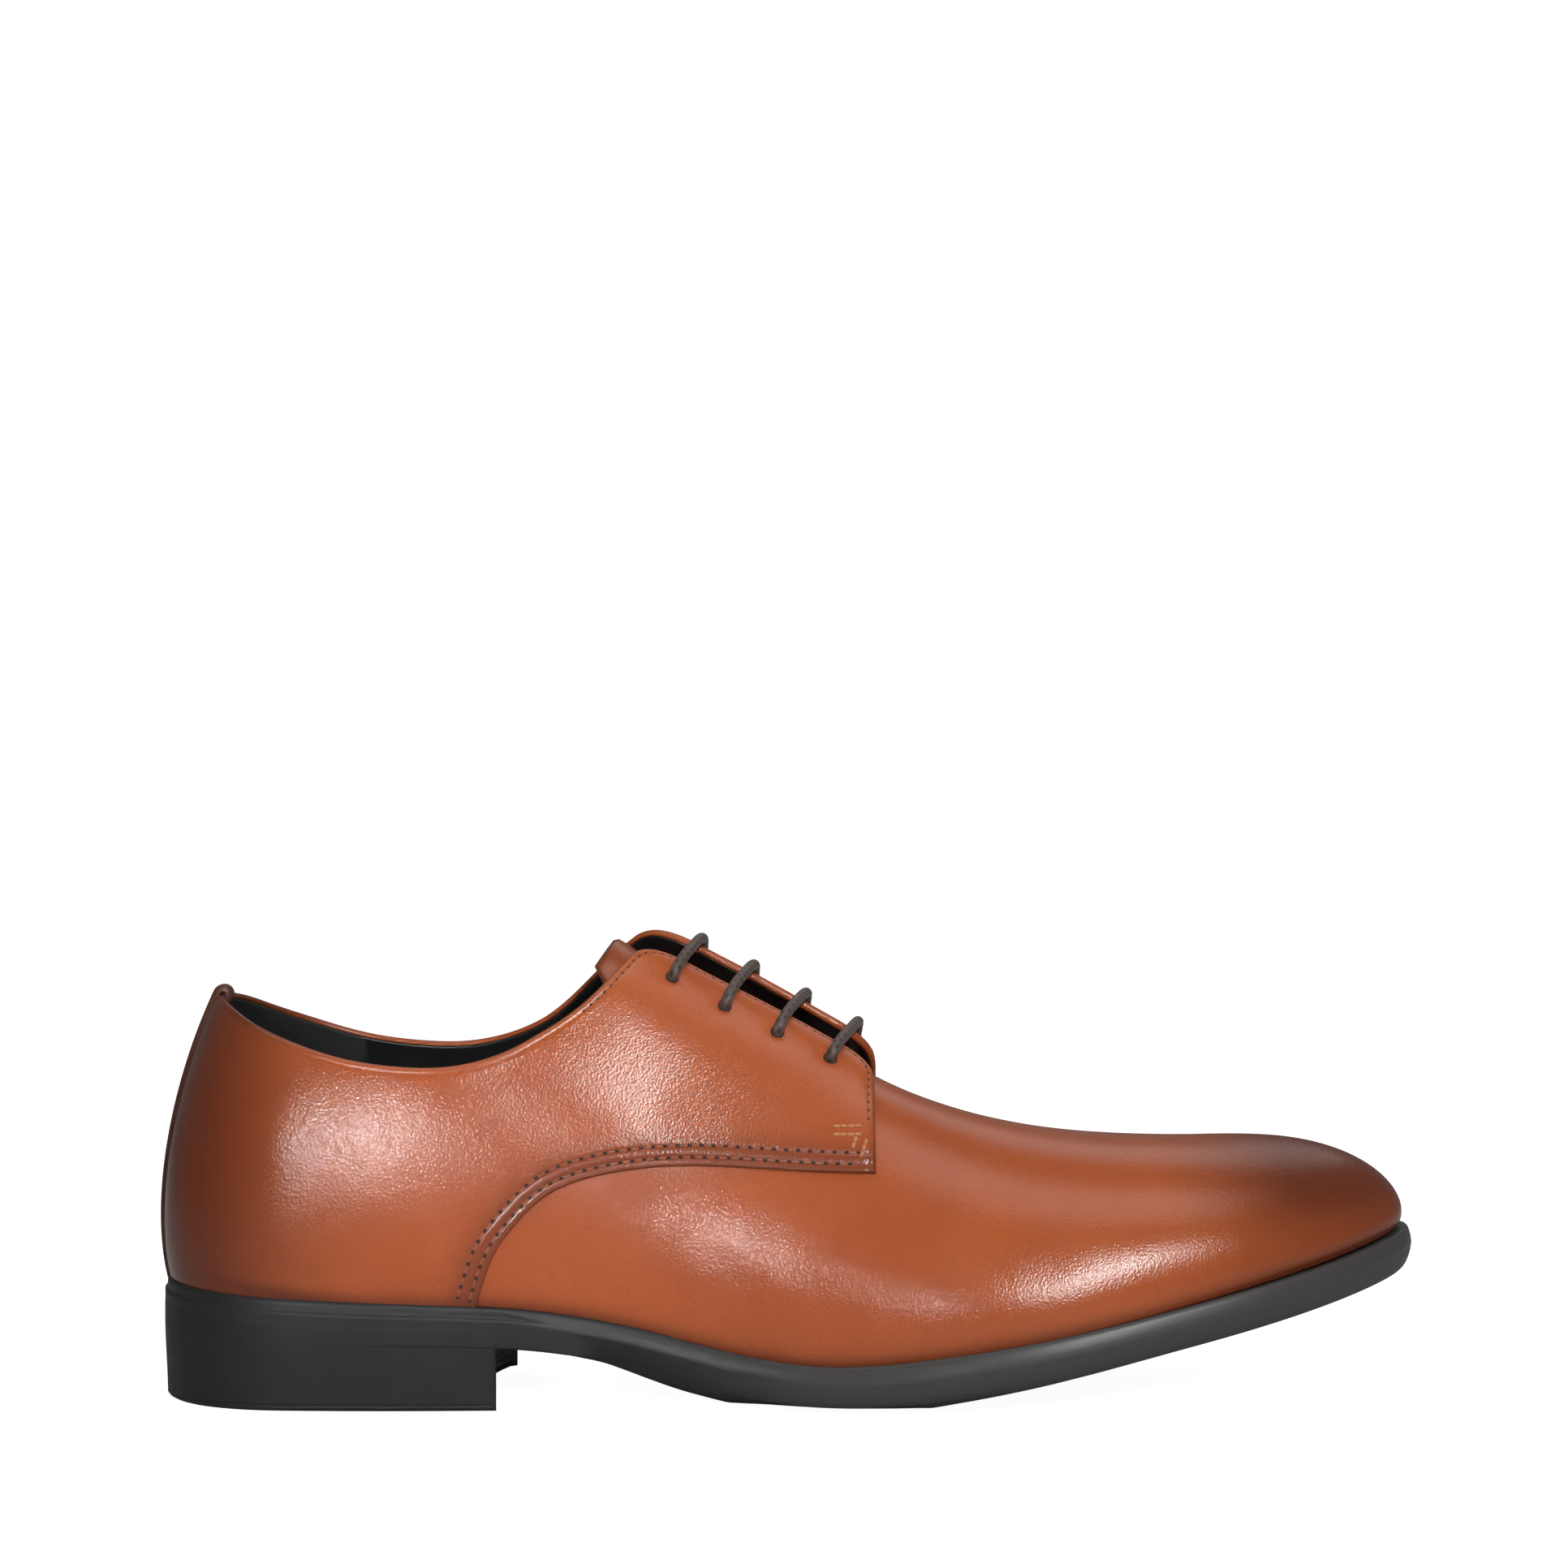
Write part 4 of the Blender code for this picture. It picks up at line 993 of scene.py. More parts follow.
def build_quarter(grid, label):
    """One quarter's leather, rolled over its top edge, and the lining inside it."""
    side, points, normals = grid["side"], grid["points"], grid["normals"]
    rim, lap = grid["rim"], grid["lap"]
    rolled = round_edge(rim, RIM_RADIUS)
    cut_edge = np.interp(lap / MM, (0, 0.05, 0.15, 0.35, 0.7), (-0.35, 0.72, 0.90, 0.98, 1.0))
    pulled = sum(hump((lap - inset) / SEAM_PULL) for inset in LAP_ROWS)
    swell = 0.10 * MM * hump((lap - 3.4 * MM) / (0.9 * MM)) - 0.13 * MM * pulled
    seam = -0.10 * MM * hump((rim - 1.75 * MM) / SEAM_PULL)
    fade = smooth_step((rim - 0.001) / 0.004) * smooth_step((lap - 0.005) / 0.006)
    spots, _ = eyelet_spots(side)
    dimple = sum(hump(np.linalg.norm(points - spot, axis=-1) / (2.6 * MM)) for spot in spots)
    outside = np.minimum(rolled, cut_edge) * QUARTER_STEP + swell + seam
    outside = outside - crease_depth(points) * fade - 0.45 * MM * dimple
    fold = 1 - smooth_step((rim - FOLD_WIDTH) / (0.3 * MM))
    inside = -rolled * QUARTER_STEP * (0.25 + 0.71 * fold)
    inside = np.where(lap < 1 * MM, np.minimum(inside, -0.5 * MM), inside)
    # Near the lap's cut edge: partly its dark edge dressing, partly painted shade at the edge.
    burnish_and_shade = burnish_and_welt_shade(points) + 0.25 * hump(lap / (0.7 * MM))
    burnish_and_shade = burnish_and_shade + 0.22 * hump(grid["front"] / (2.5 * MM)) + 0.22 * hump(rim / (0.9 * MM))
    red = 0.62 * hump(np.maximum(lap - 2 * MM, 0) / (5.5 * MM))
    tints = {"burnish_and_shade": np.clip(burnish_and_shade, 0, 0.9), "red": red}
    sheet(f"quarter_{label}", points, normals, outside, inside, tints, TAN_LOOKS)
    top_row = front_column = -(1 + RIM_ROWS.index(FOLD_WIDTH / MM))
    part = (slice(0, top_row + 1 or None), slice(0, front_column + 1 or None))
    points, normals, rim = points[part], normals[part], rim[part] - FOLD_WIDTH
    bead = round_edge(rim, 0.5 * MM)
    x = points[..., 0]
    seam = hump((x - LINING_SEAM) / 0.0007)
    back = smooth_step((LINING_SEAM - x) / 0.001)
    band = hump((grid["rim"][part] - 0.009) / 0.0012) * smooth_step((x - LINING_BAND) / 0.01)
    inside = -(0.5 + 0.5 * bead) * QUARTER_STEP * 1.02
    inside = inside + 0.30 * MM * seam - 0.25 * MM * back - 0.30 * MM * band
    sheet(f"lining_{label}", points, normals, -0.30 * MM, inside, {"grip": back}, LINING_LOOKS)


# Vamp: one skin from the lateral foot over the ridge to the medial foot

VAMP_COLUMNS = 120
VAMP_HALF_ROWS = 54


def vamp_back(level, side):
    """Station at which the vamp's hidden edge crosses each level."""
    a = np.linspace(0.15, 0.75, 900)
    edge_low = QUARTER_EDGE[0][0] * SOLE_LENGTH
    found = []
    for v in level:
        points = last_points(a, np.full(len(a), v), side)
        x, z = points[:, 0], points[:, 2]
        lap = INSTEP_HEIGHT * quarter_edge_share((x + LAP) / SOLE_LENGTH) + LAP
        lap = np.where(x + LAP < edge_low, feather_height(a) - 1, lap)
        behind = (x < FACING_FRONT - THROAT_LAP) & (z > lap)
        found.append(a[np.nonzero(behind)[0][-1]] if behind.any() else a[0])
    smooth = np.array(found)
    for _ in range(3):
        smooth[1:-1] = (smooth[:-2] + 2 * smooth[1:-1] + smooth[2:]) / 4
    return smooth


def build_vamp():
    """The vamp's leather and its lining, their columns closer together round the toe."""
    low, high = np.linspace(FOOT, 0.10, 12)[:-1], np.linspace(0.10, 1, VAMP_HALF_ROWS - 11)
    rise = np.concatenate([low, high])
    level = np.concatenate([rise, rise[-2::-1]])
    side = np.where(np.arange(len(level)) < len(rise), LATERAL, MEDIAL)
    back = np.concatenate([vamp_back(rise, LATERAL), vamp_back(rise, MEDIAL)[-2::-1]])
    turn = np.linspace(math.pi / 2, 0, 34)
    toe = 1 - TOE_ROUND_SHARE * round_station(np.sin(turn) ** (2 / END_ROUNDNESS))
    straight = np.linspace(0, 1, VAMP_COLUMNS - 33)[:-1]
    body = back[:, None] + (toe[0] - back[:, None]) * straight
    a = np.concatenate([body, np.broadcast_to(toe, (len(level), len(toe)))], 1)
    points = last_points(a, level[:, None], side[:, None])
    normals = grid_normals(points)
    edge = np.stack([lengths(row) for row in points])
    hem = round_edge(edge, 0.7 * MM)
    outside = -(1 - hem) * 0.5 * VAMP_WALL - crease_depth(points)
    none = np.zeros_like(edge)
    x, z = points[..., 0], points[..., 2]
    throat_shade = 0.12 * hump((x - 0.03) / 0.03) * hump((z - 0.07) / 0.02)
    tints = {"burnish_and_shade": np.clip(burnish_and_welt_shade(points) + throat_shade, 0, 0.9), "red": none}
    sheet("vamp", points, normals, outside, -0.9 * MM, tints, TAN_LOOKS)
    grip = {"grip": none}
    sheet("lining_vamp", points, normals, -0.85 * MM, -VAMP_WALL, grip, LINING_LOOKS)


# Backstay: a strip up the back seam, folded over the collar


def build_backstay():
    shares = np.linspace(-1, 1, 17)
    stay = BACKSTAY_WIDTH / 2 / (plan_half(0.0) - SEAT_MARGIN)
    a = HEEL_ROUND_SHARE * round_station(np.abs(shares) * stay)
    side = np.where(shares < 0, LATERAL, MEDIAL)
    top = solve_rising(lambda at: over_collar(last_points(a, at, side)), np.zeros(len(a)), 0.3, 1.0)
    fold = 0.11
    rise = np.linspace(0, 1, 70)
    up = FOOT + (top - FOOT) * rise[:, None]
    down = top - fold * np.linspace(0, 1, 12)[1:, None]
    spread = np.ones(len(a))
    centre = plan_spine(0.0)
    lifted = np.sqrt(1 - np.clip(np.abs(shares), 0, 1) ** 6)

    def directions(v):
        step = 0.003
        points = last_points(a * spread, v, side)
        tangent = unit(last_points(a, v + step, side) - last_points(a, v - step, side))
        round_out = points - np.array((-0.118, centre, 0))
        round_out[..., 2] = 0
        round_out = unit(round_out)
        beside = np.cross(tangent, round_out)
        return points, tangent, unit(np.cross(beside, tangent))

    def shell(reach):
        rows = []
        for v in up:
            points, _, out = directions(v)
            rows.append(points + out * reach[:, None])
        points, tangent, out = directions(top)
        for turn in np.linspace(0, math.pi, 14)[1:-1]:
            swing = out * math.cos(turn) + tangent * math.sin(turn)
            rows.append(points + swing * reach[:, None])
        for v in np.concatenate([[top], down]):
            points, _, out = directions(v)
            rows.append(points - out * reach[:, None])
        return np.array(rows)

    full = QUARTER_STEP + CLEARANCE + BACKSTAY_THICKNESS - 0.2 * MM
    outer = shell(QUARTER_STEP + (full - QUARTER_STEP) * lifted)
    inner = shell(np.full(len(a), 0.6 * MM))
    tints = {"burnish_and_shade": np.full(outer.shape[:2], 0.10), "red": np.zeros(outer.shape[:2])}
    wall("backstay_strip", outer, inner, tints, dark_tan, ["backstay"])


# Tongue and insole


TONGUE_LIFT = 1.6 * MM


def build_tongue():
    depth = VAMP_WALL + CLEARANCE
    share = np.linspace(0, 1, 70)
    x = TONGUE_ROOT + (TONGUE_TOP - TONGUE_ROOT) * share
    width = TONGUE_HALF_WIDTH * np.interp(share, (0, 0.28, 0.65, 1), (0.62, 0.80, 1.0, 1.0))
    corner = np.clip((x - TONGUE_TOP) / 0.010, 0, 1)
    width = width * (1 - 0.35 * (1 - corner) ** 2.5)
    across = np.linspace(-1, 1, 57)
    across = np.sign(across) * (1 - (1 - np.abs(across)) ** 1.25)
    side = np.where(across < 0, LATERAL, MEDIAL)
    bow = 0.0035 * (1 - across**2) - 0.0025
    grid_x = x[None, :] + bow[:, None] * smooth_step((share - 0.7) / 0.3)[None, :]
    grid_y = throat_line(grid_x) + across[:, None] * width[None, :]
    a = np.empty(grid_x.shape)
    v = np.empty(grid_x.shape)
    for i, which in enumerate(side):
        a[i], v[i] = locate(last_points, int(which), grid_x[i], grid_y[i], 1)
    points = last_points(a, v, side[:, None] * np.ones(a.shape[1]))[:, ::-1]
    normals = grid_normals(points)
    border = np.concatenate([points[0], points[1:, -1], points[-1, ::-1], points[::-1, 0]])
    edge = distance_to(points, border)
    rolled = round_edge(edge, 0.9 * MM)
    lift = TONGUE_LIFT * smooth_step((share[::-1] - 0.78) / 0.22) * (1 - across**2)[:, None]
    middle = depth + TONGUE_THICKNESS / 2 - lift
    out = -middle + rolled * TONGUE_THICKNESS / 2
    # Painted shade on the tongue's free top, between the facings.
    free = 0.45 * smooth_step((share[::-1] - 0.72) / 0.2)
    tints = {"burnish_and_shade": free + 0.25 * hump(edge / (1.2 * MM)), "red": np.zeros(edge.shape)}
    sheet("tongue_leather", points, normals, out, -(middle + 0.1 * MM), tints, TAN_LOOKS, "tongue")
    inside = -middle - rolled * TONGUE_THICKNESS / 2
    plain = {"grip": np.zeros(edge.shape)}
    sheet("tongue_lining", points, normals, -middle, inside, plain, LINING_LOOKS, "tongue")


def ring_of(count):
    """Stations and sides once round the shoe, closely spaced at both round ends."""
    angle = np.linspace(0, math.pi / 2, count // 4)
    shares = round_station(np.sin(angle) ** (2 / END_ROUNDNESS))
    heel = HEEL_ROUND_SHARE * shares
    toe = 1 - TOE_ROUND_SHARE * shares[::-1]
    middle = np.linspace(heel[-1], toe[0], count)[1:-1]
    a = np.concatenate([heel, middle, toe])
    around = np.concatenate([a, a[-2:0:-1]])
    side = np.concatenate([np.full(len(a), LATERAL), np.full(len(a) - 2, MEDIAL)])
    return around, side


# Section of the sock: share of the half-width, and height in mm
SOCK = ((0, 0), (1, 0), (1, 1.7), (0.985, 2.3), (0.95, 2.5), (0.8, 2.45), (0.5, 2.3), (0, 2.2))


def build_insole():
    a, side = ring_of(90)
    inset = margin(a) + VAMP_WALL + INSOLE_CLEARANCE
    x = sole_x(a, inset)
    base = feather_height(a) + CLEARANCE
    rows = []
    for share, above in SOCK:
        y = plan_y(a, side, inset, share)
        rows.append(np.stack([x, y, base + above * MM], -1))
    rows = np.array(rows)
    grip = np.full(rows.shape[:2], 0.4)
    rings("insole_sock", rows, lining, ["insole"], {"grip": grip})


# Sole and heel

# Side of the sole: depth as a share of its thickness, inset in mm behind and ahead of the breast
FLANK = (
    (0.00, 1.45, 1.30),
    (0.02, 1.00, 1.05),
    (0.05, 0.75, 0.86),
    (0.10, 0.62, 0.68),
    (0.18, 0.58, 0.44),
    (0.255, 0.56, 0.26),
    (0.275, 0.50, 0.22),
    (0.285, 0.10, 0.20),
    (0.30, 0.00, 0.17),
    (0.38, 0.00, 0.06),
    (0.44, 0.00, 0.00),
    (0.47, 0.00, 0.03),
    (0.50, 0.00, 0.10),
    (0.58, 0.00, 0.22),
    (0.68, 0.00, 0.45),
    (0.78, 0.00, 0.78),
    (0.88, 0.00, 1.25),
    (0.95, 0.00, 1.75),
    (1.00, 0.00, 2.40),
)
# Where the heel's flat side gives way to the sole's rounded one: depth share and x
SWOOP = ((0.0, -0.071), (0.25, -0.064), (0.40, -0.055), (0.6, -0.050), (1.0, -0.049))
# Rows of the tread as shares of the half-width, and those that the groove near its edge takes in
TREAD_SHARES = (0.95, 0.925, 0.90, 0.875, 0.80, 0.70, 0.55, 0.25, 0)
GROOVE_SHARES = (0.925, 0.90)
GROOVE_DEPTH = 0.5 * MM


def flank_inset(x, depth, behind, ahead):
    turn = np.interp(depth, [row[0] for row in SWOOP], [row[1] for row in SWOOP])
    share = smooth_step((x - turn) / 0.006)
    return MM * (behind + (ahead - behind) * share)


def build_sole():
    """The full-length sole: its top, its rolled flank and the tread with a groove near the edge."""
    a, side = ring_of(190)
    rows, gloss, under = [], [], []

    def add(x, y, z, shine, below):
        rows.append(np.stack([x, y, z], -1))
        gloss.append(np.full(len(a), shine) if np.isscalar(shine) else shine)
        under.append(np.full(len(a), below))

    for share in (0.0, 1.0):
        x = sole_x(a, margin(a) + 0.4 * MM)
        y = plan_y(a, side, margin(a) + 0.4 * MM, share)
        add(x, y, feather_height(station_at(x)) - 0.05 * MM, 0.3, 0)
    for depth, behind, ahead in FLANK:
        inset = flank_inset(sole_x(a), depth, behind, ahead)
        x = sole_x(a, inset)
        here = station_at(x)
        top, bottom = feather_height(here), edge_bottom(here)
        front = smooth_step((x + 0.070) / 0.02)
        bevel = smooth_step((0.50 - depth) / 0.06)
        band = smooth_step((0.285 - depth) / 0.01)
        shine = bevel * front * 0.75 + band * (1 - front) * 0.35
        add(x, plan_y(a, side, inset), top - depth * (top - bottom), shine, 0)
    last = flank_inset(sole_x(a), 1.0, 0.0, FLANK[-1][2])
    x = sole_x(a, last)
    here = station_at(x)
    for share in TREAD_SHARES:
        rise = np.maximum(0.0, (share - 0.55) / 0.45) ** 2
        z = tread_height(here) + (edge_bottom(here) - tread_height(here)) * rise
        z = z + GROOVE_DEPTH * (share in GROOVE_SHARES) * smooth_step((here - 0.42) / 0.05)
        add(x, plan_y(a, side, last, share), z, 0, 1.0 if share < 0.88 else 0.0)
    rows = np.array(rows)
    # Painted reflected light: the sole's front part is tinted lighter.
    front_painted_shine = smooth_step((rows[..., 0] + 0.040) / 0.060)
    tints = {"gloss": np.array(gloss), "under": np.array(under), "front_painted_shine": front_painted_shine}
    rings("sole_unit", rows, sole_rubber, ["outsole"], tints)


# Rows at the foot of the heel in mm, the top of the block above the sole's lower edge, the
# rounding of its bottom edge, and the ribs across its breast
HEEL_LEVELS = (0, 0.12, 0.35, 0.8, 1.2, 1.35, 1.5, 1.8)
HEEL_CROWN = 0.0067
HEEL_CHAMFER = 0.9 * MM
RIB_PITCH = 1.8 * MM
RIB_DEPTH = 0.28 * MM


def build_heel():
    """The heel block, its side flush with the sole's, its breast hollow and ribbed."""
    a, side = ring_of(190)
    lateral = np.nonzero((side == LATERAL) & (a <= BREAST))[0]
    medial = np.nonzero((side == MEDIAL) & (a <= BREAST))[0]
    order = np.concatenate([medial, lateral])
    a, side = a[order], side[order]
    a = np.concatenate([[BREAST], a, [BREAST]])
    side = np.concatenate([[MEDIAL], side, [LATERAL]])
    chord = plan_half(BREAST)
    radius = (chord**2 + BREAST_HOLLOW**2) / (2 * BREAST_HOLLOW)
    centre_x = sole_x(BREAST) + math.sqrt(radius**2 - chord**2)
    rows = []
    flat = np.concatenate([HEEL_LEVELS, np.arange(2.2, 18.6, 0.45)]) * MM
    crown = edge_bottom(a) + HEEL_CROWN
    levels = [np.full(len(a), z) for z in flat]
    levels += [flat[-1] + (crown - flat[-1]) * share for share in (0.35, 0.62, 0.85, 1.0)]
    for level in levels:
        bottom = smooth_step((0.8 * MM - level) / (0.8 * MM))
        lift_line = hump((level - 1.35 * MM) / (0.16 * MM))
        taper = HEEL_TAPER * 0.55 * smooth_step(1 - level / 0.019)
        above = level - edge_bottom(a)
        inset = taper + HEEL_CHAMFER * bottom**2 + 0.16 * MM * lift_line - 0.05 * MM
        inset = inset + 0.4 * MM * smooth_step((above - 4.4 * MM) / (2.2 * MM))
        near = smooth_step((a - BREAST + 0.020) / 0.020)
        inset = inset + 0.4 * MM * near * smooth_step((above - 1.3 * MM) / (1.0 * MM))
        x = sole_x(a) + inset * (1 - a / BREAST)
        y = plan_y(a, side, inset)
        flank = np.stack([x, y, level], -1)
        across = np.linspace(y[-1], y[0], 42)[1:-1]
        wave = math.cos(2 * math.pi * level[0] / RIB_PITCH) * (level[0] < edge_bottom(BREAST))
        beside = across - plan_spine(BREAST)
        hollow = centre_x - np.sqrt(radius**2 - np.square(beside))
        ends = smooth_step((chord - np.abs(beside)) / 0.004)
        x = np.minimum(hollow, sole_x(BREAST)) + RIB_DEPTH * wave * ends
        x = x - HEEL_CHAMFER * bottom[0] ** 2
        breast = np.stack([x, across, np.full(len(across), level[0])], -1)
        rows.append(np.concatenate([flank, breast]))
    rows = np.array(rows)
    count, around = rows.shape[:2]
    faces = grid_faces(count, around, around=True).tolist()
    faces.append(list(range(around))[::-1])
    faces.append([(count - 1) * around + i for i in range(around)])
    tints = {label: np.zeros(rows.shape[:2]) for label in ("gloss", "under", "front_painted_shine")}
    points = rows.reshape(-1, 3)
    finish_piece("heel_block", points, faces, tints, heel_rubber, ["heel"])


# Lace

LACE_SIDES = 24
LACE_STEP = 0.00033
BRAID_PITCH = 0.0042
UNDER_CLEARANCE = 0.0002
# How a bar lies between the throat and its eyelet: share of the setback, height, shift forward
LACE_REACH = {
    LATERAL: ((-0.10, 1.14, 0.0028), (0.25, 1.12, 0.0020), (0.62, 1.05, 0.0010)),
    MEDIAL: ((-0.10, 1.02, 0.0), (0.25, 1.06, 0.0), (0.62, 1.04, 0.0)),
}


def lace_path():
    """Bars over the facings, joined by runs underneath them. The lateral ends lean forwards."""
    off = QUARTER_STEP + LACE_DIAMETER / 2 + LACE_CLEARANCE
    lead = {LATERAL: 0.0, MEDIAL: MEDIAL_EYELET_LEAD}

    def on_facing(side, row, setback, forward=0.0):
        x = FACING_FRONT - EYELET_FRONT_INSET - row * EYELET_SPACING + lead[side] + forward
        y = throat_line(x) + side * (THROAT_GAP / 2 + setback)
        a, v = locate(quarter_points, side, np.array([x]), np.array([y]), 1)
        return quarter_points(a, v, side)[0], outward(quarter_points, a, v, np.array([side]))[0]

    def through(side, row):
        hole, normal = on_facing(side, row, EYELET_SETBACK)
        line = []
        for share, rise, forward in LACE_REACH[side]:
            place, out = on_facing(side, row, share * EYELET_SETBACK, forward)
            line.append(place + out * off * rise)
        return line + [hole + normal * step for step in (off, QUARTER_STEP, -QUARTER_STEP, -off)]

    def under(side, first, last, aside=0.0):
        points = []
        for row in np.linspace(first, last, 2 + 2 * round(abs(last - first)))[1:-1]:
            place, normal = on_facing(side, row, EYELET_SETBACK - aside)
            points.append(place - normal * (off + UNDER_CLEARANCE))
        return points

    path = under(LATERAL, 3.3, -0.3, LACE_DIAMETER + 2 * LACE_CLEARANCE)
    side = LATERAL
    for row in range(EYELET_COUNT):
        path += through(side, row)[::-1] + through(-side, row)
        side = -side
        if row < EYELET_COUNT - 1:
            path += under(side, row, row + 1)
    return np.array(path)


def rounded(points, rounds):
    """Cuts the corners of a line of points, so that a cord bends smoothly along it."""
    for _ in range(rounds):
        near, far = points[:-1] * 0.75 + points[1:] * 0.25, points[:-1] * 0.25 + points[1:] * 0.75
        between = np.stack([near, far], 1).reshape(-1, 3)
        points = np.concatenate([points[:1], between, points[-1:]])
    return points


def build_lace():
    line = rounded(lace_path(), 4)
    length = lengths(line)
    at = np.arange(0, length[-1], LACE_STEP)
    line = along_line(line, length, at)
    tangent = unit(np.gradient(line, axis=0))
    normal = np.zeros_like(line)
    normal[0] = unit(np.cross(tangent[0], (0.3, 0.5, 0.9)))
    for i in range(1, len(line)):
        carried = normal[i - 1] - tangent[i] * (normal[i - 1] @ tangent[i])
        normal[i] = carried / np.linalg.norm(carried)
    beside = np.cross(tangent, normal)
    turn = np.arange(LACE_SIDES) * 2 * math.pi / LACE_SIDES
    wind = 2 * math.pi * at[:, None] / BRAID_PITCH
    first = np.cos(3 * turn + 3 * wind / 2)
    second = np.cos(3 * turn - 3 * wind / 2)
    strand = np.maximum(first, second) * 0.5 + 0.5
    strand = strand**0.6
    ends = np.sqrt(np.clip(np.minimum(at, at[-1] - at) / (0.8 * MM), 0, 1))
    radius = LACE_DIAMETER / 2 * (0.90 + 0.10 * strand) * ends[:, None]
    round_out = normal[:, None] * np.cos(turn)[:, None] + beside[:, None] * np.sin(turn)[:, None]
    rows = line[:, None] + round_out * radius[..., None]
    # The strand tint lets the lace material paint shade into the braid's grooves.
    rings("lace_cord", rows, lace_yarn, ["lace"], {"strand": strand})


# Stitching


def inward_row(grid, line, inset):
    """(a, v) line of a seam at an inset from an edge, towards the middle of the quarter."""
    points = on_quarter(line, grid["side"])
    tangent = unit(np.gradient(points, axis=0))
    within = np.cross(out_of_quarter(line, grid["side"]), tangent)
    centre = grid["points"].reshape(-1, 3).mean(0)
    facing = np.sign(((centre - points) * within).sum(-1).mean())
    goal = points + within * facing * inset
    return np.stack(settle(quarter_points, grid["side"], goal, line[:, 0], line[:, 1]), -1)


def sew(name, grid, line, pitch, size, height, yarn, hole):
    """Stitches at a height over the leather, and dark marks of painted shade at each needle hole, along
    an (a, v) line.
    """
    side = grid["side"]
    length = lengths(on_quarter(line, side))
    count = int(length[-1] / pitch)
    at = (np.arange(count) + 0.5) * pitch
    middle = along_line(line, length, at)
    centre, out = on_quarter(middle, side), out_of_quarter(middle, side)
    running = on_quarter(along_line(line, length, at + 0.4 * pitch), side) - centre
    capsules(name, centre + out * (QUARTER_STEP + height), running, out, size, yarn)
    # Dark marks of painted shade where the needle went through.
    edge = along_line(line, length, np.arange(count + 1) * pitch)
    centre, out = on_quarter(edge, side), out_of_quarter(edge, side)
    running = np.broadcast_to((1.0, 0.0, 0.3), centre.shape)
    centre = centre + out * (QUARTER_STEP - 0.08 * MM)
    capsules(f"{name}_hole_shade_marks", centre, running, out, (hole, hole, 0.16 * MM), hole_shade, 10)


# Short rows that lock the facing's lower front corner, from the side: (x, z) of both ends
TACKS = (
    (0.0117, 0.0666, 0.0196, 0.0666),
    (0.0117, 0.0647, 0.0186, 0.0647),
    (0.0198, 0.0637, 0.0181, 0.0589),
    (0.0173, 0.0643, 0.0163, 0.0612),
)


# Length, width and height of a stitch in the lap, the facing and its corner, and of the dark disc of
# painted shade in an eyelet
LAP_STITCH = (2.15 * MM, 0.52 * MM, 0.34 * MM)
FACING_STITCH = (1.75 * MM, 0.42 * MM, 0.28 * MM)
TACK_STITCH = (1.75 * MM, 0.90 * MM, 0.56 * MM)
EYELET_SHADE_DISC = (4.1 * MM, 3.9 * MM, 0.5 * MM)
FACING_ROW_START = -0.050


def build_stitching(grid, label):
    """The lap's two rows, the facing's row, the tacks at its corner and, in the eyelet openings of one
    side, dark discs of painted shade.
    """
    side = grid["side"]
    for number, inset in enumerate(LAP_ROWS):
        line = inward_row(grid, grid["lap_line"], inset)
        points = on_quarter(line, side)
        keep = points[:, 2] > feather_height(station_at(points[:, 0])) + 0.6 * MM
        keep &= points[:, 0] < FACING_FRONT - 3.4 * MM
        name = f"lap_stitching_{label}_{number}"
        sew(name, grid, line[keep], 2.9 * MM, LAP_STITCH, -0.10 * MM, tan_thread, 1.1 * MM)
    top = grid["top_line"]
    top = top[on_quarter(top, side)[:, 0] > FACING_ROW_START]
    front = grid["av"][::-1, -1]
    front = front[on_quarter(front, side)[:, 2] > TACKS[0][1]]
    line = inward_row(grid, np.concatenate([top[:-1:2], front[4::2]]), 1.8 * MM)
    name = f"facing_stitching_{label}"
    sew(name, grid, line, 2.35 * MM, FACING_STITCH, -0.06 * MM, tan_thread, 0.62 * MM)
    for number, (x0, z0, x1, z1) in enumerate(TACKS):
        share = np.linspace(0, 1, 12)
        x, z = x0 + (x1 - x0) * share, z0 + (z1 - z0) * share
        line = np.stack(locate(quarter_points, side, x, z, 2), -1)
        name = f"tack_{label}_{number}"
        sew(name, grid, line, 1.7 * MM, TACK_STITCH, 0.08 * MM, gold_thread, 0.5 * MM)
    # Dark discs in the eyelet openings: painted shade inside them.
    spots, out = eyelet_spots(side)
    running = np.broadcast_to((1.0, 0.0, 0.0), spots.shape)
    centre = spots + out * (QUARTER_STEP - 0.42 * MM)
    capsules(f"eyelet_shade_discs_{label}", centre, running, out, EYELET_SHADE_DISC, hole_shade, 20)


# Camera, floor and light

CAMERA_DISTANCE = 0.843
CAMERA_HEIGHT = 0.1494
LENS = 78.07
FLOOR_SIZE = 12.0
FLOOR_GREY = (0.55, 0.55, 0.55, 1)
FLOOR_GLOW = 0.96
SKY_LIGHT = 0.15
# Lights: name, place, aim, width, height, power, then roll and spread in degrees
LIGHTS = (
    ("key", (-0.36, -1.48, 0.36), (-0.09, -0.03, 0.06), 0.16, 0.08, 0.034, 0, 12),
    ("strip", (0.41, -1.25, 0.78), (0.06, -0.04, 0.04), 0.72, 0.07, 15, 54, 180),
    ("top", (0.0, -0.20, 1.5), (0.0, 0.0, 0.05), 1.4, 0.7, 5, 0, 180),
    ("back", (0.25, 1.10, 1.15), (0.05, 0.0, 0.05), 1.2, 0.6, 1.6, 0, 180),
)


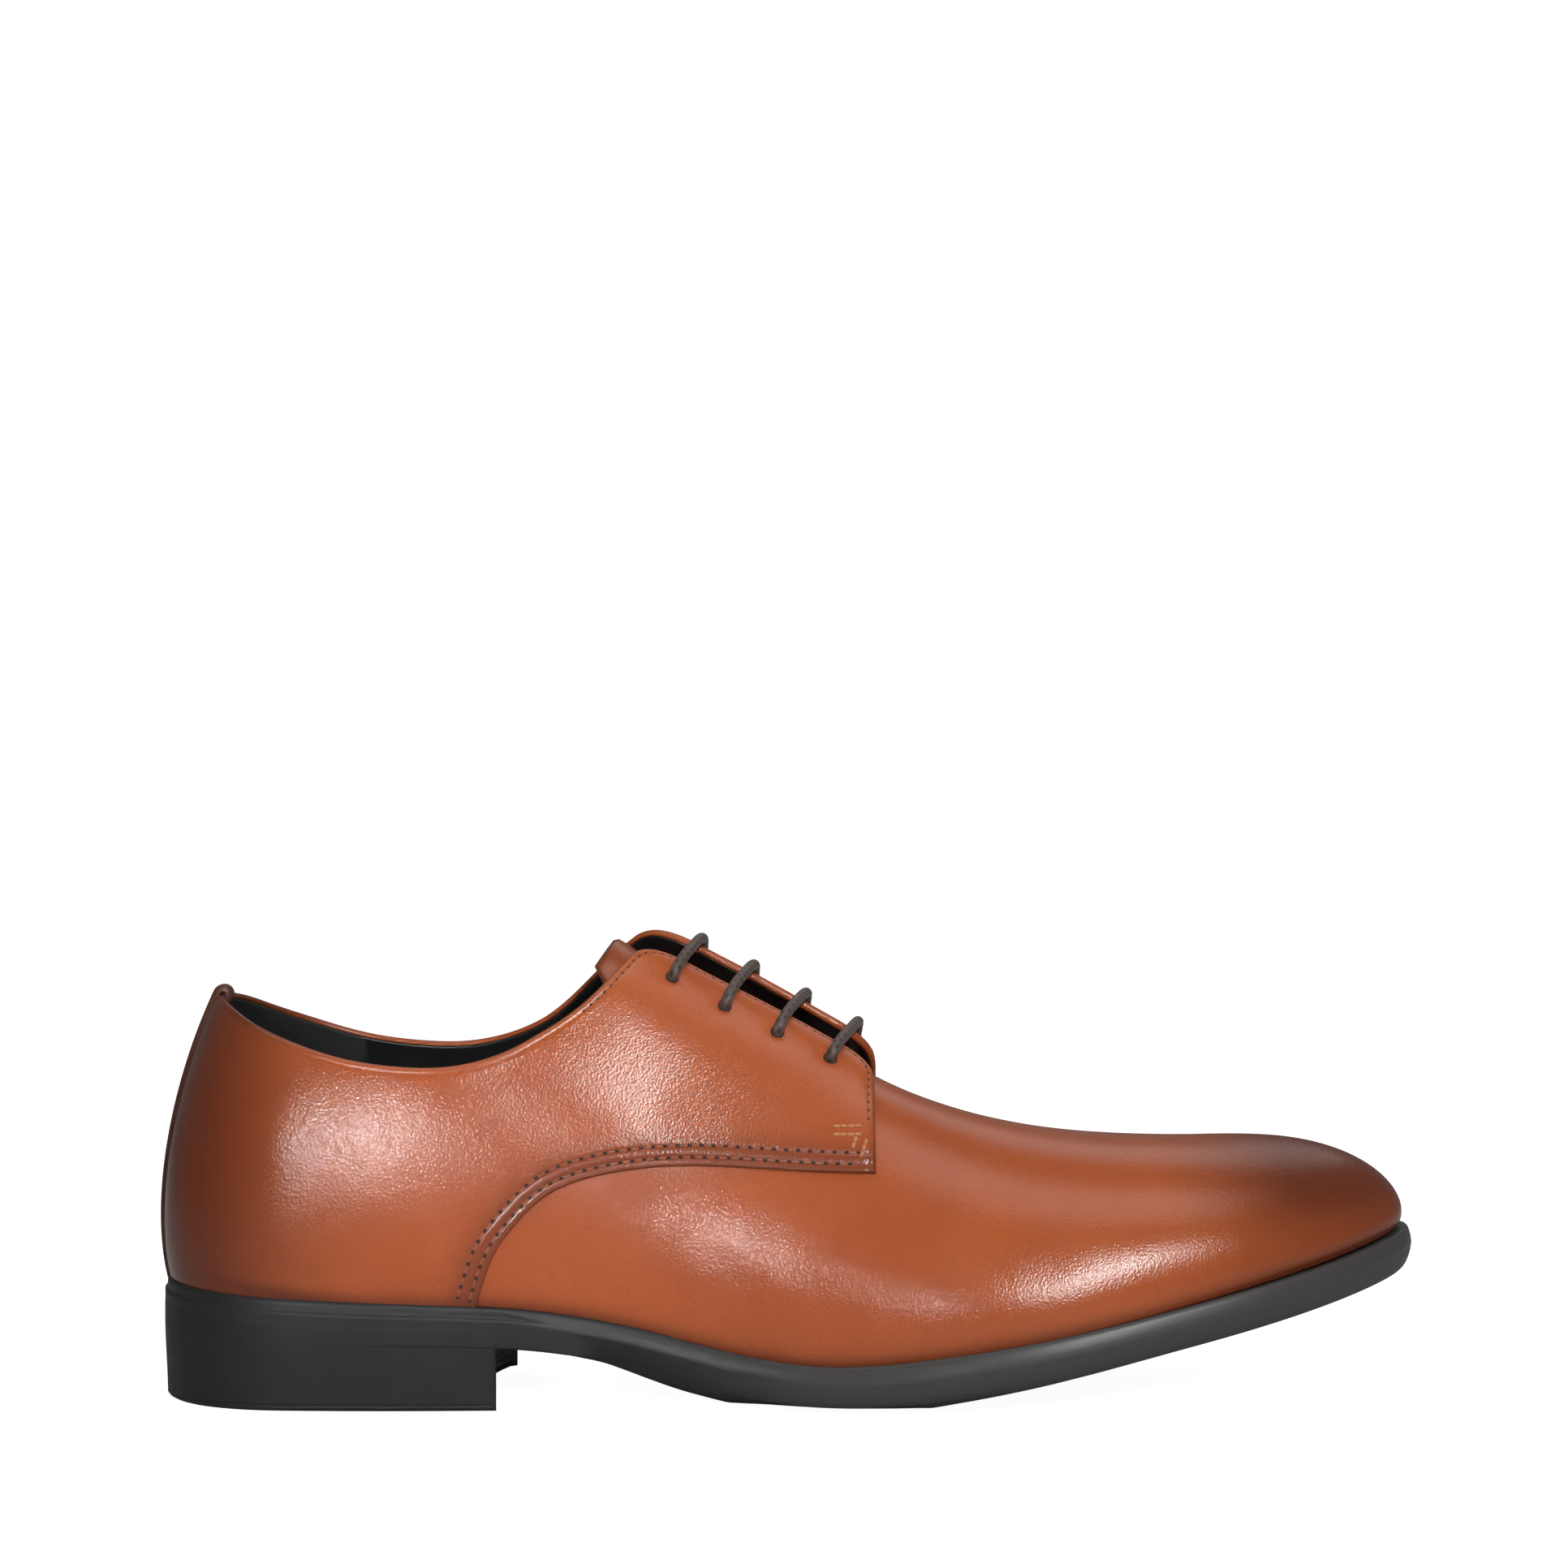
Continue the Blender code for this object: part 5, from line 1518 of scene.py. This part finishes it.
def soft_light(name, place, aim, width, height, power, roll, spread):
    """A rectangular light aimed at a point, its roll and its spread in degrees."""
    data = bpy.data.lights.new(name, "AREA")
    data.shape = "RECTANGLE"
    data.size = width
    data.size_y = height
    data.energy = power
    data.spread = math.radians(spread)
    light = bpy.data.objects.new(name, data)
    light.location = place
    direction = np.array(aim) - np.array(place)
    turned = Vector(direction).to_track_quat("-Z", "Y") @ Quaternion((0, 0, 1), math.radians(roll))
    light.rotation_euler = turned.to_euler()
    bpy.context.scene.collection.objects.link(light)


def camera_only(tree, low, high):
    """A strength that is low for all light and high for what the camera sees itself."""
    seen = node(tree, "ShaderNodeLightPath").outputs["Is Camera Ray"]
    limits = {"Value": seen, "To Min": low, "To Max": high}
    return node(tree, "ShaderNodeMapRange", limits).outputs["Result"]


def build_studio():
    """Camera, floor, world and lights. The ground is white to the camera alone."""
    camera = bpy.data.objects.new("camera", bpy.data.cameras.new("camera"))
    camera.location = (0, -CAMERA_DISTANCE, CAMERA_HEIGHT)
    camera.rotation_euler = (math.pi / 2, 0, 0)
    camera.data.lens = LENS
    camera.data.sensor_width = 36
    bpy.context.scene.collection.objects.link(camera)
    bpy.context.scene.camera = camera
    half = FLOOR_SIZE / 2
    mesh = bpy.data.meshes.new("floor")
    corners = [(-half, -half, 0), (half, -half, 0), (half, half, 0), (-half, half, 0)]
    mesh.from_pydata(corners, [], [(0, 1, 2, 3)])
    material, tree, shader = new_material("pale_floor", roughness=0.8)
    shader.inputs["Base Color"].default_value = FLOOR_GREY
    shader.inputs["Emission Color"].default_value = (1, 1, 1, 1)
    tree.links.new(camera_only(tree, 0.0, FLOOR_GLOW), shader.inputs["Emission Strength"])
    mesh.materials.append(material)
    floor = bpy.data.objects.new("floor", mesh)
    bpy.context.scene.collection.objects.link(floor)
    world = bpy.data.worlds.new("studio")
    world.use_nodes = True
    tree = world.node_tree
    background = tree.nodes["Background"]
    background.inputs["Color"].default_value = (1, 1, 1, 1)
    tree.links.new(camera_only(tree, SKY_LIGHT, 1.0), background.inputs["Strength"])
    bpy.context.scene.world = world
    bpy.context.scene.view_settings.view_transform = "Standard"
    for light in LIGHTS:
        soft_light(*light)


def main():
    build_studio()
    for side, label in ((LATERAL, "lateral"), (MEDIAL, "medial")):
        grid = quarter_grid(side)
        build_quarter(grid, label)
        build_stitching(grid, label)
    build_vamp()
    build_backstay()
    build_tongue()
    build_insole()
    build_sole()
    build_heel()
    build_lace()


main()
